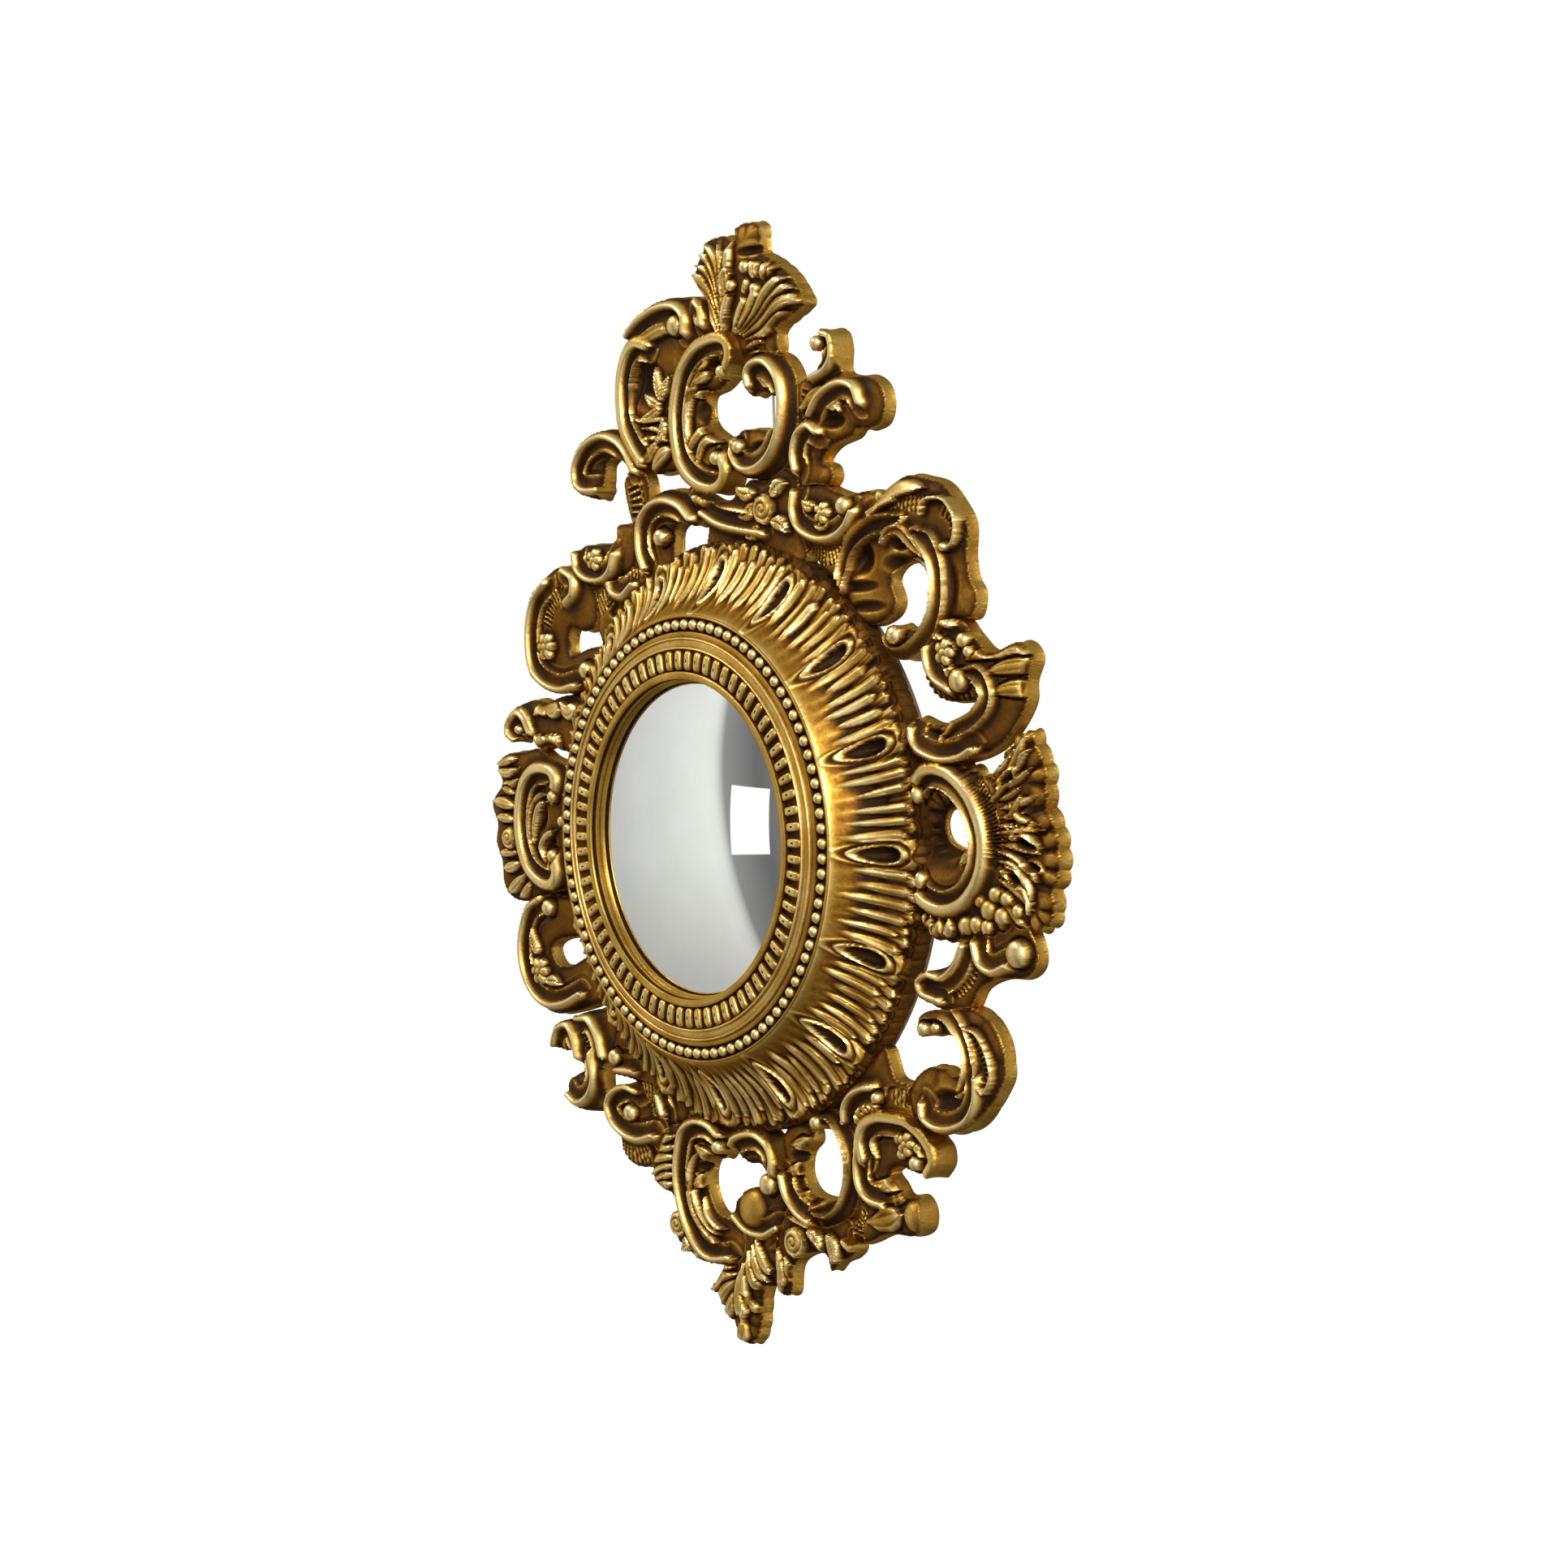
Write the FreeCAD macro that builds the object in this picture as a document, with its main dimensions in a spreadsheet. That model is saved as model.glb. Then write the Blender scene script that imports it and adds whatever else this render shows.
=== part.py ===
import FreeCAD, Part
import math
import os
import re

import Sketcher
from FreeCAD import Placement, Rotation, Vector

# A convex butlers mirror: a round convex glass in a turned bezel with a row of blocks and a row of
# pearls, a fluted flame border on a turned ground, and pierced rococo castings all round it.
#
# Frame: X to the right, Z up, the mirror faces -Y, the wall is the plane y = 0 and the mirror's
# centre is at x = z = 0. Every piece is drawn lying on its back, with x to the right, y up the wall
# and z as the height off the wall, and is then stood up by STAND_UP. Lengths are in millimetres.

SIZES = {
    # Glass and what holds it.
    "sight_radius": 90.0,
    "glass_lap": 4.0,
    "glass_thickness": 3.0,
    "glass_rise": 13.0,
    "edge_clearance": 1.0,
    "rest_clearance": 0.3,
    "gasket_thickness": 2.0,
    "hoop_wall": 6.0,
    "board_thickness": 3.0,
    "board_lap": 9.0,
    "board_clearance": 0.5,
    # Depths, as heights off the wall.
    "wall_gap": 3.0,
    "recess_width": 21.5,
    "rim_edge_thickness": 6.0,
    "ground_shoulder": 35.0,
    "lip_height": 50.2,
    "lip_depth": 7.0,
    # Bezel, from the sight edge outwards.
    "lip_width": 4.2,
    "block_track_width": 12.4,
    "inner_bead_width": 1.4,
    "flat_width": 4.6,
    "outer_bead_width": 1.4,
    "slope_width": 2.6,
    "pearl_track_width": 7.6,
    "rim_bead_width": 1.8,
    "bezel_fall": 4.6,
    "bead_rise": 1.2,
    # Rows of blocks and pearls.
    "block_count": 72,
    "block_width": 5.0,
    "block_side": 0.9,
    "strip_thickness": 0.8,
    "row_clearance": 0.05,
    "pearl_count": 93,
    "pearl_diameter": 6.4,
    "pearl_sink": 1.2,
    # Flame border.
    "border_width": 40.0,
    "border_thickness": 6.2,
    "border_edge_rise": 8.0,
    "motif_count": 16,
    "flutes_per_motif": 4,
    "flute_radius": 2.2,
    "flute_depth": 1.8,
    "oval_half_length": 15.0,
    "oval_half_width": 4.2,
    # Castings.
    "casting_body": 11.0,
    "casting_rim": 16.0,
    "rim_half_width": 2.2,
    "glue_line": 0.05,
    "pilot_clearance": 0.05,
    # Back fittings.
    "button_length": 30.0,
    "button_width": 9.0,
    "button_thickness": 1.2,
    "button_play": 0.1,
    "screw_radius": 1.5,
    "screw_head_radius": 3.2,
    "screw_head_thickness": 1.1,
    "screw_depth": 12.0,
    "slot_width": 0.8,
    "slot_depth": 0.5,
    "pivot_play": 0.06,
    # Hanging bail and its eye plates.
    "bail_wire": 1.4,
    "bail_left": -21.0,
    "bail_right": 33.0,
    "bail_foot_height": 214.0,
    "bail_rise": 46.0,
    "bail_corner": 8.0,
    "bail_foot": 8.0,
    "knuckle_wall": 0.55,
    "knuckle_length": 5.0,
    "plate_width": 9.0,
    "plate_height": 20.0,
    "plate_thickness": 0.7,
    "plate_screw_radius": 1.1,
    "plate_screw_head": 2.1,
    "plate_screw_spacing": 12.0,
    "plate_screw_depth": 6.0,
}

STAND_UP = Placement(Vector(0, 0, 0), Rotation(Vector(1, 0, 0), 90))

# Radius at which the castings' outlines below are drawn. They follow the border's real radius.
DRAWN_RIM = 166.0

BUTTON_ANGLES = (45, 135, 225, 315)

# Castings, in the order in which one takes the space that two share. "edge" is the closed outline of
# the body, "rims" are the raised scroll edges, "eyes" are the round bosses (x, y, radius) at the
# scrolls' ends and in their flowers, and "holes" go right through.
CASTINGS = {
    "crest_c_left": {
        "edge": [(10, 262), (15, 268), (15, 276), (8, 283), (-6, 284), (-22, 280), (-36, 268),
                 (-43, 251), (-45, 235), (-42, 217), (-33, 204), (-20, 197), (-6, 194), (4, 197),
                 (9, 205), (9, 215), (4, 222), (-4, 226), (-14, 232), (-18, 240), (-16, 250),
                 (-4, 253), (4, 257)],
        "rims": [[(7, 263), (12, 268), (12, 275), (7, 280), (-5, 281), (-20, 277), (-33, 266),
                  (-40, 250), (-42, 235), (-39, 218), (-31, 207), (-20, 200), (-7, 197), (2, 200),
                  (5, 207), (2, 213)]],
        "eyes": [(4, 262, 4), (-4, 214, 4)],
    },
    "crest_c_right": {
        "edge": [(22, 268), (38, 270), (55, 266), (64, 256), (66, 246), (66, 235), (64, 225),
                 (60, 215), (54, 206), (44, 201), (30, 200), (17, 202), (9, 207), (9, 215),
                 (10, 222), (16, 228), (30, 228), (44, 226), (52, 231), (53, 240), (53, 248),
                 (46, 245), (36, 248), (28, 246), (20, 250), (16, 256), (16, 262)],
        "rims": [[(29, 252), (28, 259), (33, 264), (44, 264), (54, 256), (58, 245), (57, 232),
                  (52, 220), (44, 211), (32, 206), (20, 207), (13, 214), (13, 221)]],
        "eyes": [(17, 219, 4)],
    },
    "right_ear_scroll": {
        "edge": [(103, 136), (104, 150), (112, 164), (122, 174), (138, 186), (156, 194), (172, 192),
                 (186, 188), (197, 178), (205, 166), (204, 150), (206, 138), (211, 130), (207, 118),
                 (190, 116), (178, 104), (162, 97), (146, 98), (140, 106), (146, 114), (164, 113),
                 (176, 122), (178, 136), (168, 147), (152, 148), (142, 140), (146, 128), (140, 120),
                 (124, 116), (112, 122)],
        "rims": [[(104, 150), (110, 160), (120, 167), (135, 169), (155, 168), (170, 163), (177, 155)],
                 [(129, 158), (133, 164), (145, 166), (160, 162), (170, 153), (177, 143), (181, 130),
                  (182, 118), (177, 110), (168, 104), (155, 100), (146, 102)],
                 [(127, 172), (140, 181), (155, 187), (170, 189), (183, 187)],
                 [(173, 176), (180, 180), (190, 178), (199, 172), (203, 162), (200, 153), (193, 151)]],
        "eyes": [(149, 107, 5)],
    },
    "right_ear_lower": {
        "edge": [(176, 106), (183, 118), (198, 117), (208, 108), (222, 99), (244, 104), (254, 96),
                 (249, 84), (248, 73), (238, 60), (224, 50), (206, 44), (186, 42), (168, 46),
                 (158, 56), (160, 66), (176, 62), (196, 64), (212, 70), (206, 74), (188, 74),
                 (176, 78), (168, 88), (172, 96)],
        "rims": [[(195, 114), (187, 116), (180, 112), (176, 103), (177, 93), (183, 86), (193, 81)],
                 [(205, 91), (215, 92), (223, 87), (227, 79), (224, 70), (215, 62), (203, 56),
                  (195, 54)],
                 [(162, 60), (163, 54), (170, 48), (185, 44), (200, 45), (210, 49)],
                 [(226, 96), (238, 97), (248, 98)], [(234, 76), (246, 75)]],
        "eyes": [(200, 85, 6), (190, 100, 7)],
    },
    "right_cartouche": {
        "edge": [(150, 10), (156, 30), (166, 40), (184, 43), (202, 40), (216, 34), (228, 42),
                 (238, 54), (250, 58), (256, 47), (261, 38), (261, 20), (267, 9), (270, -4),
                 (269, -16), (264, -24), (264, -36), (254, -44), (236, -42), (222, -47), (208, -46),
                 (196, -50), (180, -52), (168, -48), (160, -34), (150, -10)],
        "rims": [[(162, 30), (172, 38), (185, 38), (197, 33), (208, 23), (215, 10), (217, -2),
                  (214, -15), (207, -25), (197, -32), (183, -35), (170, -32), (163, -27)]],
        "eyes": [(170, 25, 4), (170, -20, 4), (214, -34, 7)],
        "holes": [[(176, 10), (182, 18), (196, 14), (202, 4), (194, -4), (180, 0)]],
    },
    "right_lower_scroll": {
        "edge": [(160, -98), (163, -92), (172, -89), (184, -88), (198, -87), (210, -90), (218, -98),
                 (223, -108), (224, -120), (218, -130), (210, -140), (198, -149), (184, -154),
                 (168, -154), (154, -150), (148, -142), (146, -134), (150, -128), (164, -120),
                 (176, -120), (186, -124), (191, -114), (189, -104), (178, -102), (164, -103)],
        "rims": [[(170, -92), (180, -93), (190, -101), (196, -112), (194, -124), (188, -132)],
                 [(206, -124), (206, -134), (198, -144), (184, -150), (168, -149), (160, -142)],
                 [(198, -97), (208, -100), (217, -110), (221, -122), (215, -129)]],
        "eyes": [(166, -97, 4)],
    },
    "bottom_right_scroll": {
        "edge": [(108, -154), (120, -148), (138, -147), (156, -153), (168, -158), (174, -164),
                 (173, -173), (162, -178), (148, -178), (136, -176), (128, -180), (134, -186),
                 (140, -192), (152, -191), (158, -198), (156, -208), (144, -213), (124, -214),
                 (108, -220), (98, -222), (92, -216), (100, -206), (102, -192), (101, -176),
                 (104, -162)],
        "rims": [[(109, -172), (108, -163), (115, -155), (125, -150), (140, -149), (155, -153),
                  (165, -160), (171, -170)],
                 [(106, -176), (105, -186), (110, -195), (126, -196)],
                 [(118, -208), (132, -206), (146, -210)]],
        "eyes": [(163, -172, 5), (146, -164, 7), (150, -200, 6)],
    },
    "bottom_right_c": {
        "edge": [(66, -152), (78, -149), (92, -155), (100, -170), (101, -190), (96, -204),
                 (84, -212), (68, -216), (52, -214), (38, -208), (34, -196), (36, -180), (34, -168),
                 (44, -160), (58, -160), (62, -168), (54, -176), (52, -188), (60, -198), (76, -200),
                 (88, -196), (93, -184), (92, -168), (84, -160), (74, -158)],
        "rims": [[(76, -153), (86, -155), (94, -163), (98, -176), (98, -190), (93, -202),
                  (85, -210), (74, -213), (60, -212), (47, -206), (39, -197), (38, -190)]],
        "eyes": [(70, -157, 4)],
    },
    "bottom_c_right": {
        "edge": [(-10, -177), (-6, -170), (6, -165), (20, -166), (30, -174), (34, -186), (36, -200),
                 (34, -216), (26, -226), (10, -228), (-4, -224), (-12, -216), (-8, -207), (6, -200),
                 (14, -198), (18, -192), (12, -186), (0, -186)],
        "rims": [[(-8, -176), (-4, -172), (6, -169), (16, -169), (26, -174), (30, -182), (28, -190)],
                 [(-7, -217), (5, -224), (20, -225), (32, -220)]],
        "eyes": [(25, -195, 5)],
    },
    "bottom_c_left": {
        "edge": [(-16, -178), (-20, -169), (-34, -163), (-48, -164), (-58, -171), (-63, -186),
                 (-64, -202), (-60, -220), (-50, -236), (-38, -245), (-22, -247), (-6, -242),
                 (-2, -230), (-14, -222), (-30, -218), (-38, -206), (-38, -194), (-32, -186),
                 (-22, -186)],
        "rims": [[(-21, -172), (-30, -167), (-43, -166), (-55, -172), (-60, -185), (-62, -200),
                  (-58, -218), (-50, -232), (-40, -241), (-29, -244), (-14, -242)],
                 [(-44, -182), (-48, -200), (-41, -216), (-28, -230), (-14, -236)]],
        "eyes": [(-22, -179, 4)],
    },
    "left_cartouche": {
        "edge": [(-170, 40), (-186, 44), (-200, 50), (-216, 48), (-232, 47), (-246, 40), (-242, 28),
                 (-254, 16), (-249, 4), (-251, -8), (-245, -20), (-243, -34), (-232, -43),
                 (-214, -44), (-196, -40), (-176, -36), (-160, -30), (-150, 0), (-160, 34)],
        "rims": [[(-178, 35), (-188, 38), (-200, 36), (-210, 28), (-215, 15), (-216, 0), (-213, -13),
                  (-206, -24), (-194, -31), (-182, -32), (-175, -27)],
                 [(-184, 6), (-198, 0), (-204, -10)]],
        "eyes": [(-178, 22, 4), (-180, -17, 5)],
    },
    "left_lower_scroll": {
        "edge": [(-206, -44), (-192, -39), (-176, -40), (-158, -42), (-150, -52), (-148, -62),
                 (-164, -64), (-182, -66), (-192, -72), (-186, -82), (-172, -82), (-156, -76),
                 (-146, -72), (-140, -88), (-140, -100), (-150, -105), (-172, -110), (-190, -112),
                 (-204, -106), (-215, -94), (-220, -80), (-220, -66), (-215, -54)],
        "rims": [[(-196, -42), (-208, -48), (-216, -62), (-218, -76), (-214, -90), (-204, -101),
                  (-190, -106), (-172, -104), (-156, -98)]],
        "eyes": [(-188, -47, 5), (-198, -84, 8)],
    },
    "left_foot_scroll": {
        "edge": [(-188, -131), (-184, -121), (-174, -115), (-160, -112), (-146, -107), (-132, -108),
                 (-124, -118), (-128, -132), (-138, -140), (-140, -152), (-136, -166), (-150, -169),
                 (-168, -168), (-178, -161), (-176, -152), (-164, -146), (-154, -144), (-162, -140),
                 (-166, -132), (-178, -134)],
        "rims": [[(-186, -130), (-180, -120), (-170, -118), (-163, -126), (-161, -136)],
                 [(-160, -113), (-148, -113), (-139, -122), (-135, -134)],
                 [(-147, -134), (-144, -148), (-150, -159), (-162, -164), (-172, -160)]],
        "eyes": [],
    },
    "left_ear_scroll": {
        "edge": [(-201, 130), (-203, 134), (-192, 141), (-186, 150), (-178, 158), (-164, 160),
                 (-150, 157), (-138, 148), (-132, 136), (-134, 124), (-146, 120), (-160, 122),
                 (-164, 112), (-160, 106), (-142, 110), (-126, 110), (-118, 102), (-130, 92),
                 (-146, 86), (-164, 83), (-180, 86), (-192, 93), (-198, 102), (-200, 115)],
        "rims": [[(-160, 157), (-150, 152), (-150, 143), (-158, 138)],
                 [(-180, 150), (-192, 140), (-198, 126), (-199, 110), (-195, 98), (-184, 90),
                  (-168, 86), (-152, 88)]],
        "eyes": [(-180, 112, 8), (-140, 97, 5)],
    },
    "bottom_left_bowl": {
        "edge": [(-131, -164), (-122, -154), (-106, -150), (-94, -156), (-90, -166), (-80, -168),
                 (-76, -176), (-80, -184), (-88, -192), (-98, -198), (-112, -198), (-122, -192),
                 (-126, -182)],
        "rims": [[(-100, -153), (-112, -151), (-124, -155), (-130, -163), (-126, -172),
                  (-114, -179), (-100, -181), (-86, -178)]],
        "eyes": [(-108, -166, 5)],
    },
    "upper_left_bowl": {
        "edge": [(-149, 165), (-146, 157), (-136, 150), (-120, 147), (-106, 150), (-94, 156),
                 (-90, 168), (-92, 180), (-104, 182), (-110, 180), (-112, 172), (-126, 171),
                 (-142, 171)],
        "rims": [[(-147, 166), (-144, 157), (-134, 151), (-120, 150), (-110, 155), (-106, 164)]],
        "eyes": [(-127, 162, 6)],
    },
    "upper_left_scroll": {
        "edge": [(-146, 214), (-143, 224), (-134, 231), (-122, 236), (-108, 238), (-94, 233),
                 (-86, 222), (-80, 212), (-76, 200), (-78, 186), (-90, 180), (-96, 186),
                 (-101, 206), (-92, 212), (-96, 218), (-106, 222), (-118, 218), (-120, 208),
                 (-124, 198), (-134, 200), (-143, 207)],
        "rims": [[(-122, 203), (-136, 204), (-143, 210), (-142, 220), (-132, 230), (-116, 234),
                  (-100, 230), (-90, 222), (-84, 212)]],
        "eyes": [],
    },
    "inner_left_c": {
        "edge": [(-80, 152), (-83, 165), (-82, 181), (-75, 192), (-61, 199), (-44, 198), (-30, 192),
                 (-24, 182), (-30, 177), (-42, 180), (-51, 176), (-53, 166), (-52, 156), (-52, 148),
                 (-66, 142)],
        "rims": [[(-76, 155), (-80, 166), (-79, 180), (-70, 190), (-56, 193), (-40, 189),
                  (-30, 181)]],
        "eyes": [(-60, 172, 5)],
    },
    "right_shoulder_bowl": {
        "edge": [(65, 192), (64, 178), (68, 166), (76, 158), (82, 150), (92, 143), (104, 146),
                 (110, 160), (122, 173), (136, 184), (126, 188), (108, 187), (96, 190), (84, 194)],
        "rims": [[(67, 190), (66, 180), (70, 172), (78, 167), (90, 164), (102, 165), (112, 170),
                  (117, 177)]],
        "eyes": [(109, 181, 5), (92, 177, 6)],
    },
    "crest_left_scroll": {
        "edge": [(-98, 238), (-100, 262), (-103, 268), (-97, 273), (-92, 285), (-84, 292),
                 (-82, 302), (-66, 303), (-50, 308), (-30, 307), (-14, 304), (-9, 290), (-14, 283),
                 (-30, 278), (-41, 262), (-45, 240), (-44, 222), (-40, 212), (-56, 209), (-72, 210),
                 (-84, 220), (-94, 230)],
        "rims": [[(-68, 283), (-78, 285), (-87, 279), (-93, 266), (-94, 250), (-92, 238),
                  (-84, 226), (-76, 217)],
                 [(-86, 290), (-76, 297), (-58, 303), (-40, 303), (-30, 296), (-30, 287)]],
        "eyes": [(-40, 292, 6), (-58, 258, 7)],
    },
    "crest_right_scroll": {
        "edge": [(64, 205), (64, 218), (68, 228), (66, 240), (68, 250), (80, 254), (90, 258),
                 (94, 264), (86, 267), (84, 273), (92, 277), (104, 276), (107, 266), (106, 254),
                 (114, 250), (128, 249), (138, 243), (141, 233), (137, 224), (126, 221), (118, 222),
                 (112, 218), (98, 215), (90, 211), (86, 206), (93, 203), (95, 197), (88, 192),
                 (72, 192), (65, 198)],
        "rims": [[(83, 232), (93, 242), (108, 247), (121, 244), (126, 235)],
                 [(88, 222), (81, 226), (72, 222), (68, 212), (69, 203)],
                 [(96, 275), (103, 272), (104, 262), (98, 255), (86, 252)]],
        "eyes": [(90, 270, 4)],
    },
    "left_shoulder_curl": {
        "edge": [(-226, 64), (-223, 72), (-213, 78), (-200, 80), (-188, 78), (-176, 81), (-164, 82),
                 (-150, 78), (-140, 68), (-150, 45), (-170, 48), (-184, 52), (-196, 50), (-205, 55),
                 (-218, 57)],
        "rims": [[(-198, 57), (-204, 64), (-212, 66), (-220, 63)],
                 [(-216, 75), (-202, 77), (-190, 74), (-178, 77), (-168, 72), (-164, 62)]],
        "eyes": [(-182, 66, 5)],
    },
    "crest_plume": {
        "edge": [(-9, 284), (-10, 300), (-25, 318), (-17, 331), (-11, 337), (3, 338), (12, 334),
                 (14, 341), (25, 343), (36, 340), (37, 326), (48, 320), (62, 311), (72, 300),
                 (75, 293), (62, 287), (50, 281), (48, 268), (32, 266), (16, 272), (2, 276)],
        "rims": [[(1, 290), (-4, 304), (-18, 318)], [(5, 290), (4, 308), (-5, 330)],
                 [(10, 290), (14, 308), (25, 335)], [(16, 288), (29, 301), (50, 314)],
                 [(20, 282), (38, 289), (66, 296)]],
        "eyes": [],
    },
    "crest_rose_spray": {
        "edge": [(-34, 200), (-16, 191), (8, 190), (20, 200), (36, 199), (52, 205), (64, 198),
                 (62, 184), (66, 170), (66, 150), (0, 150), (-20, 152), (-22, 164), (-20, 176),
                 (-26, 184), (-38, 192)],
        "rims": [[(-24, 193), (-8, 187), (12, 184), (24, 182)],
                 [(-18, 184), (-2, 177), (16, 173), (36, 170)]],
        "eyes": [(38, 183, 9)],
    },
    "lower_right_shell": {
        "edge": [(94, -152), (96, -142), (100, -132), (124, -112), (134, -128), (148, -132),
                 (152, -142), (150, -150), (130, -148), (112, -152), (104, -162), (98, -160)],
        "rims": [[(96, -154), (97, -146), (103, -139), (112, -135), (121, -134)]],
        "eyes": [],
    },
    "right_small_scroll": {
        "edge": [(161, -76), (166, -69), (180, -66), (190, -58), (196, -50), (208, -44), (222, -42),
                 (240, -40), (249, -50), (250, -62), (240, -69), (222, -70), (206, -76), (196, -88),
                 (178, -90), (164, -82)],
        "rims": [[(178, -83), (166, -80), (163, -74), (170, -70), (182, -71), (193, -64),
                  (199, -54)],
                 [(208, -52), (212, -62), (222, -66), (234, -62)]],
        "eyes": [(240, -56, 7)],
    },
    "upper_left_shell": {
        "edge": [(-132, 124), (-131, 145), (-118, 150), (-100, 156), (-84, 158), (-76, 145),
                 (-100, 115), (-124, 112), (-131, 118)],
        "rims": [[(-112, 148), (-108, 142), (-98, 140), (-88, 146)]],
        "eyes": [],
    },
    "bottom_left_link": {
        "edge": [(-124, -118), (-108, -112), (-80, -130), (-60, -148), (-56, -166), (-74, -170),
                 (-84, -162), (-96, -158), (-106, -148), (-122, -144), (-134, -138)],
        "rims": [[(-120, -141), (-104, -141)], [(-78, -154), (-74, -164)]],
        "eyes": [(-122, -134, 5)],
    },
    "bottom_left_spray": {
        "edge": [(-70, -168), (-84, -186), (-94, -201), (-84, -208), (-74, -212), (-70, -220),
                 (-72, -228), (-70, -238), (-58, -244), (-48, -248), (-36, -246), (-44, -232),
                 (-56, -216), (-62, -200), (-60, -176)],
        "rims": [[(-68, -182), (-80, -185)], [(-68, -194), (-88, -200)]],
        "eyes": [(-62, -227, 8)],
    },
    "bottom_rose": {
        "edge": [(27, -222), (34, -212), (50, -211), (62, -214), (72, -214), (82, -210), (92, -210),
                 (98, -223), (92, -230), (82, -234), (74, -240), (70, -232), (60, -231),
                 (46, -236), (40, -243), (37, -257), (26, -257), (26, -240)],
        "rims": [[(76, -222), (75, -230), (80, -234)]],
        "eyes": [(46, -225, 9)],
    },
    "bottom_drop": {
        "edge": [(-20, -244), (-30, -256), (-38, -264), (-28, -266), (-24, -274), (-18, -279),
                 (-12, -288), (-4, -291), (3, -288), (8, -279), (10, -268), (14, -256), (30, -254),
                 (30, -244), (26, -226), (0, -222), (-12, -232)],
        "rims": [[(-8, -248), (-18, -258), (-30, -262)], [(-4, -250), (-8, -264), (-19, -274)],
                 [(2, -240), (2, -262), (-4, -284)], [(8, -242), (14, -249), (24, -251)]],
        "eyes": [],
    },
}

doc = FreeCAD.newDocument("ButlersMirror")
sheet = doc.addObject("Spreadsheet::Sheet", "Sizes")
for row, (word, value) in enumerate(SIZES.items(), start=1):
    sheet.set(f"A{row}", word)
    sheet.set(f"B{row}", str(value))
    sheet.setAlias(f"B{row}", word)
doc.recompute()


def size(word):
    """A driving dimension, as a number."""
    return float(sheet.get(word))


def count(word):
    """A driving number of copies."""
    return int(sheet.get(word))


def bound(formula):
    """The formula with each of its words pointing at the sheet."""
    return re.sub(r"[a-z_]+", lambda match: "Sizes." + match.group(), formula)


def number(formula):
    """What a formula comes to now."""
    return float(sheet.evalExpression(bound(formula)))


# Radii from the sight edge outwards, and heights off the wall, as formulas that several pieces share.
GLASS_RADIUS = "sight_radius + glass_lap"
BORE_RADIUS = GLASS_RADIUS + " + edge_clearance"
BOARD_RADIUS = BORE_RADIUS + " + board_lap"
LIP_RADIUS = "sight_radius + lip_width"
TRACK_END = LIP_RADIUS + " + block_track_width"
INNER_BEAD_END = TRACK_END + " + inner_bead_width"
FLAT_END = INNER_BEAD_END + " + flat_width"
OUTER_BEAD_END = FLAT_END + " + outer_bead_width"
SLOPE_END = OUTER_BEAD_END + " + slope_width"
PEARL_END = SLOPE_END + " + pearl_track_width"
BEZEL_RADIUS = PEARL_END + " + rim_bead_width"
RIM_RADIUS = BEZEL_RADIUS + " + border_width"
BOARD_TOP = "wall_gap + board_thickness"
GLASS_SEAT = "lip_height - lip_depth"
BLOCK_FLOOR = "lip_height - block_width / 2 - strip_thickness"
BEZEL_EDGE = "lip_height - bezel_fall"
PEARL_FLOOR = BEZEL_EDGE + " - pearl_diameter / 2"
RIM_TOP = "wall_gap + rim_edge_thickness"


def origin_plane(body, role):
    """One of the body's own origin planes."""
    return next(item for item in body.Origin.OriginFeatures if item.Role == role)


def turned_body(label, corners):
    """A turned piece: a closed section of (radius, height) formulas, revolved about the axis."""
    body = doc.addObject("PartDesign::Body", label)
    body.Label = label
    sketch = body.newObject("Sketcher::SketchObject", label + "_section")
    sketch.AttachmentSupport = (origin_plane(body, "XZ_Plane"), "")
    sketch.MapMode = "FlatFace"
    points = [Vector(number(radius), number(height), 0) for radius, height in corners]
    last = len(points) - 1
    for index, point in enumerate(points):
        following = points[0 if index == last else index + 1]
        sketch.addGeometry(Part.LineSegment(point, following))
    for index in range(len(points)):
        following = 0 if index == last else index + 1
        sketch.addConstraint(Sketcher.Constraint("Coincident", index, 2, following, 1))
    for index, (radius, height) in enumerate(corners):
        for kind, formula, value in (("DistanceX", radius, points[index].x),
                                     ("DistanceY", height, points[index].y)):
            item = sketch.addConstraint(Sketcher.Constraint(kind, -1, 1, index, 1, value))
            sketch.setExpression(f"Constraints[{item}]", bound(formula))
    turning = body.newObject("PartDesign::Revolution", label + "_turning")
    turning.Profile = sketch
    turning.ReferenceAxis = (sketch, ["V_Axis"])
    turning.Angle = 360
    body.Tip = turning
    body.Placement = STAND_UP
    return body


def bind(item, **formulas):
    """Ties properties of a primitive to the sheet."""
    for name, formula in formulas.items():
        item.setExpression(name.replace("_at_", ".Base."), bound(formula))
    return item


def primitive(kind, name, **formulas):
    """A Part primitive whose sizes are formulas; Placement_at_x, _y and _z set its place."""
    return bind(doc.addObject("Part::" + kind, name), **formulas)


def plain(label, shape):
    """A sub-part whose shape is worked out in code."""
    item = doc.addObject("Part::Feature", label)
    item.Label = label
    item.Shape = shape
    item.Placement = STAND_UP * shape.Placement
    return item


def around(angle, radius, height=0.0):
    """A point on a circle about the mirror's axis."""
    turn = math.radians(angle)
    return Vector(radius * math.cos(turn), radius * math.sin(turn), height)


def cylinder_up(centre, radius, low, high):
    """A round post between two heights."""
    return Part.makeCylinder(radius, high - low, Vector(centre.x, centre.y, low))


# ---------------------------------------------------------------- what the glass sits in

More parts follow.
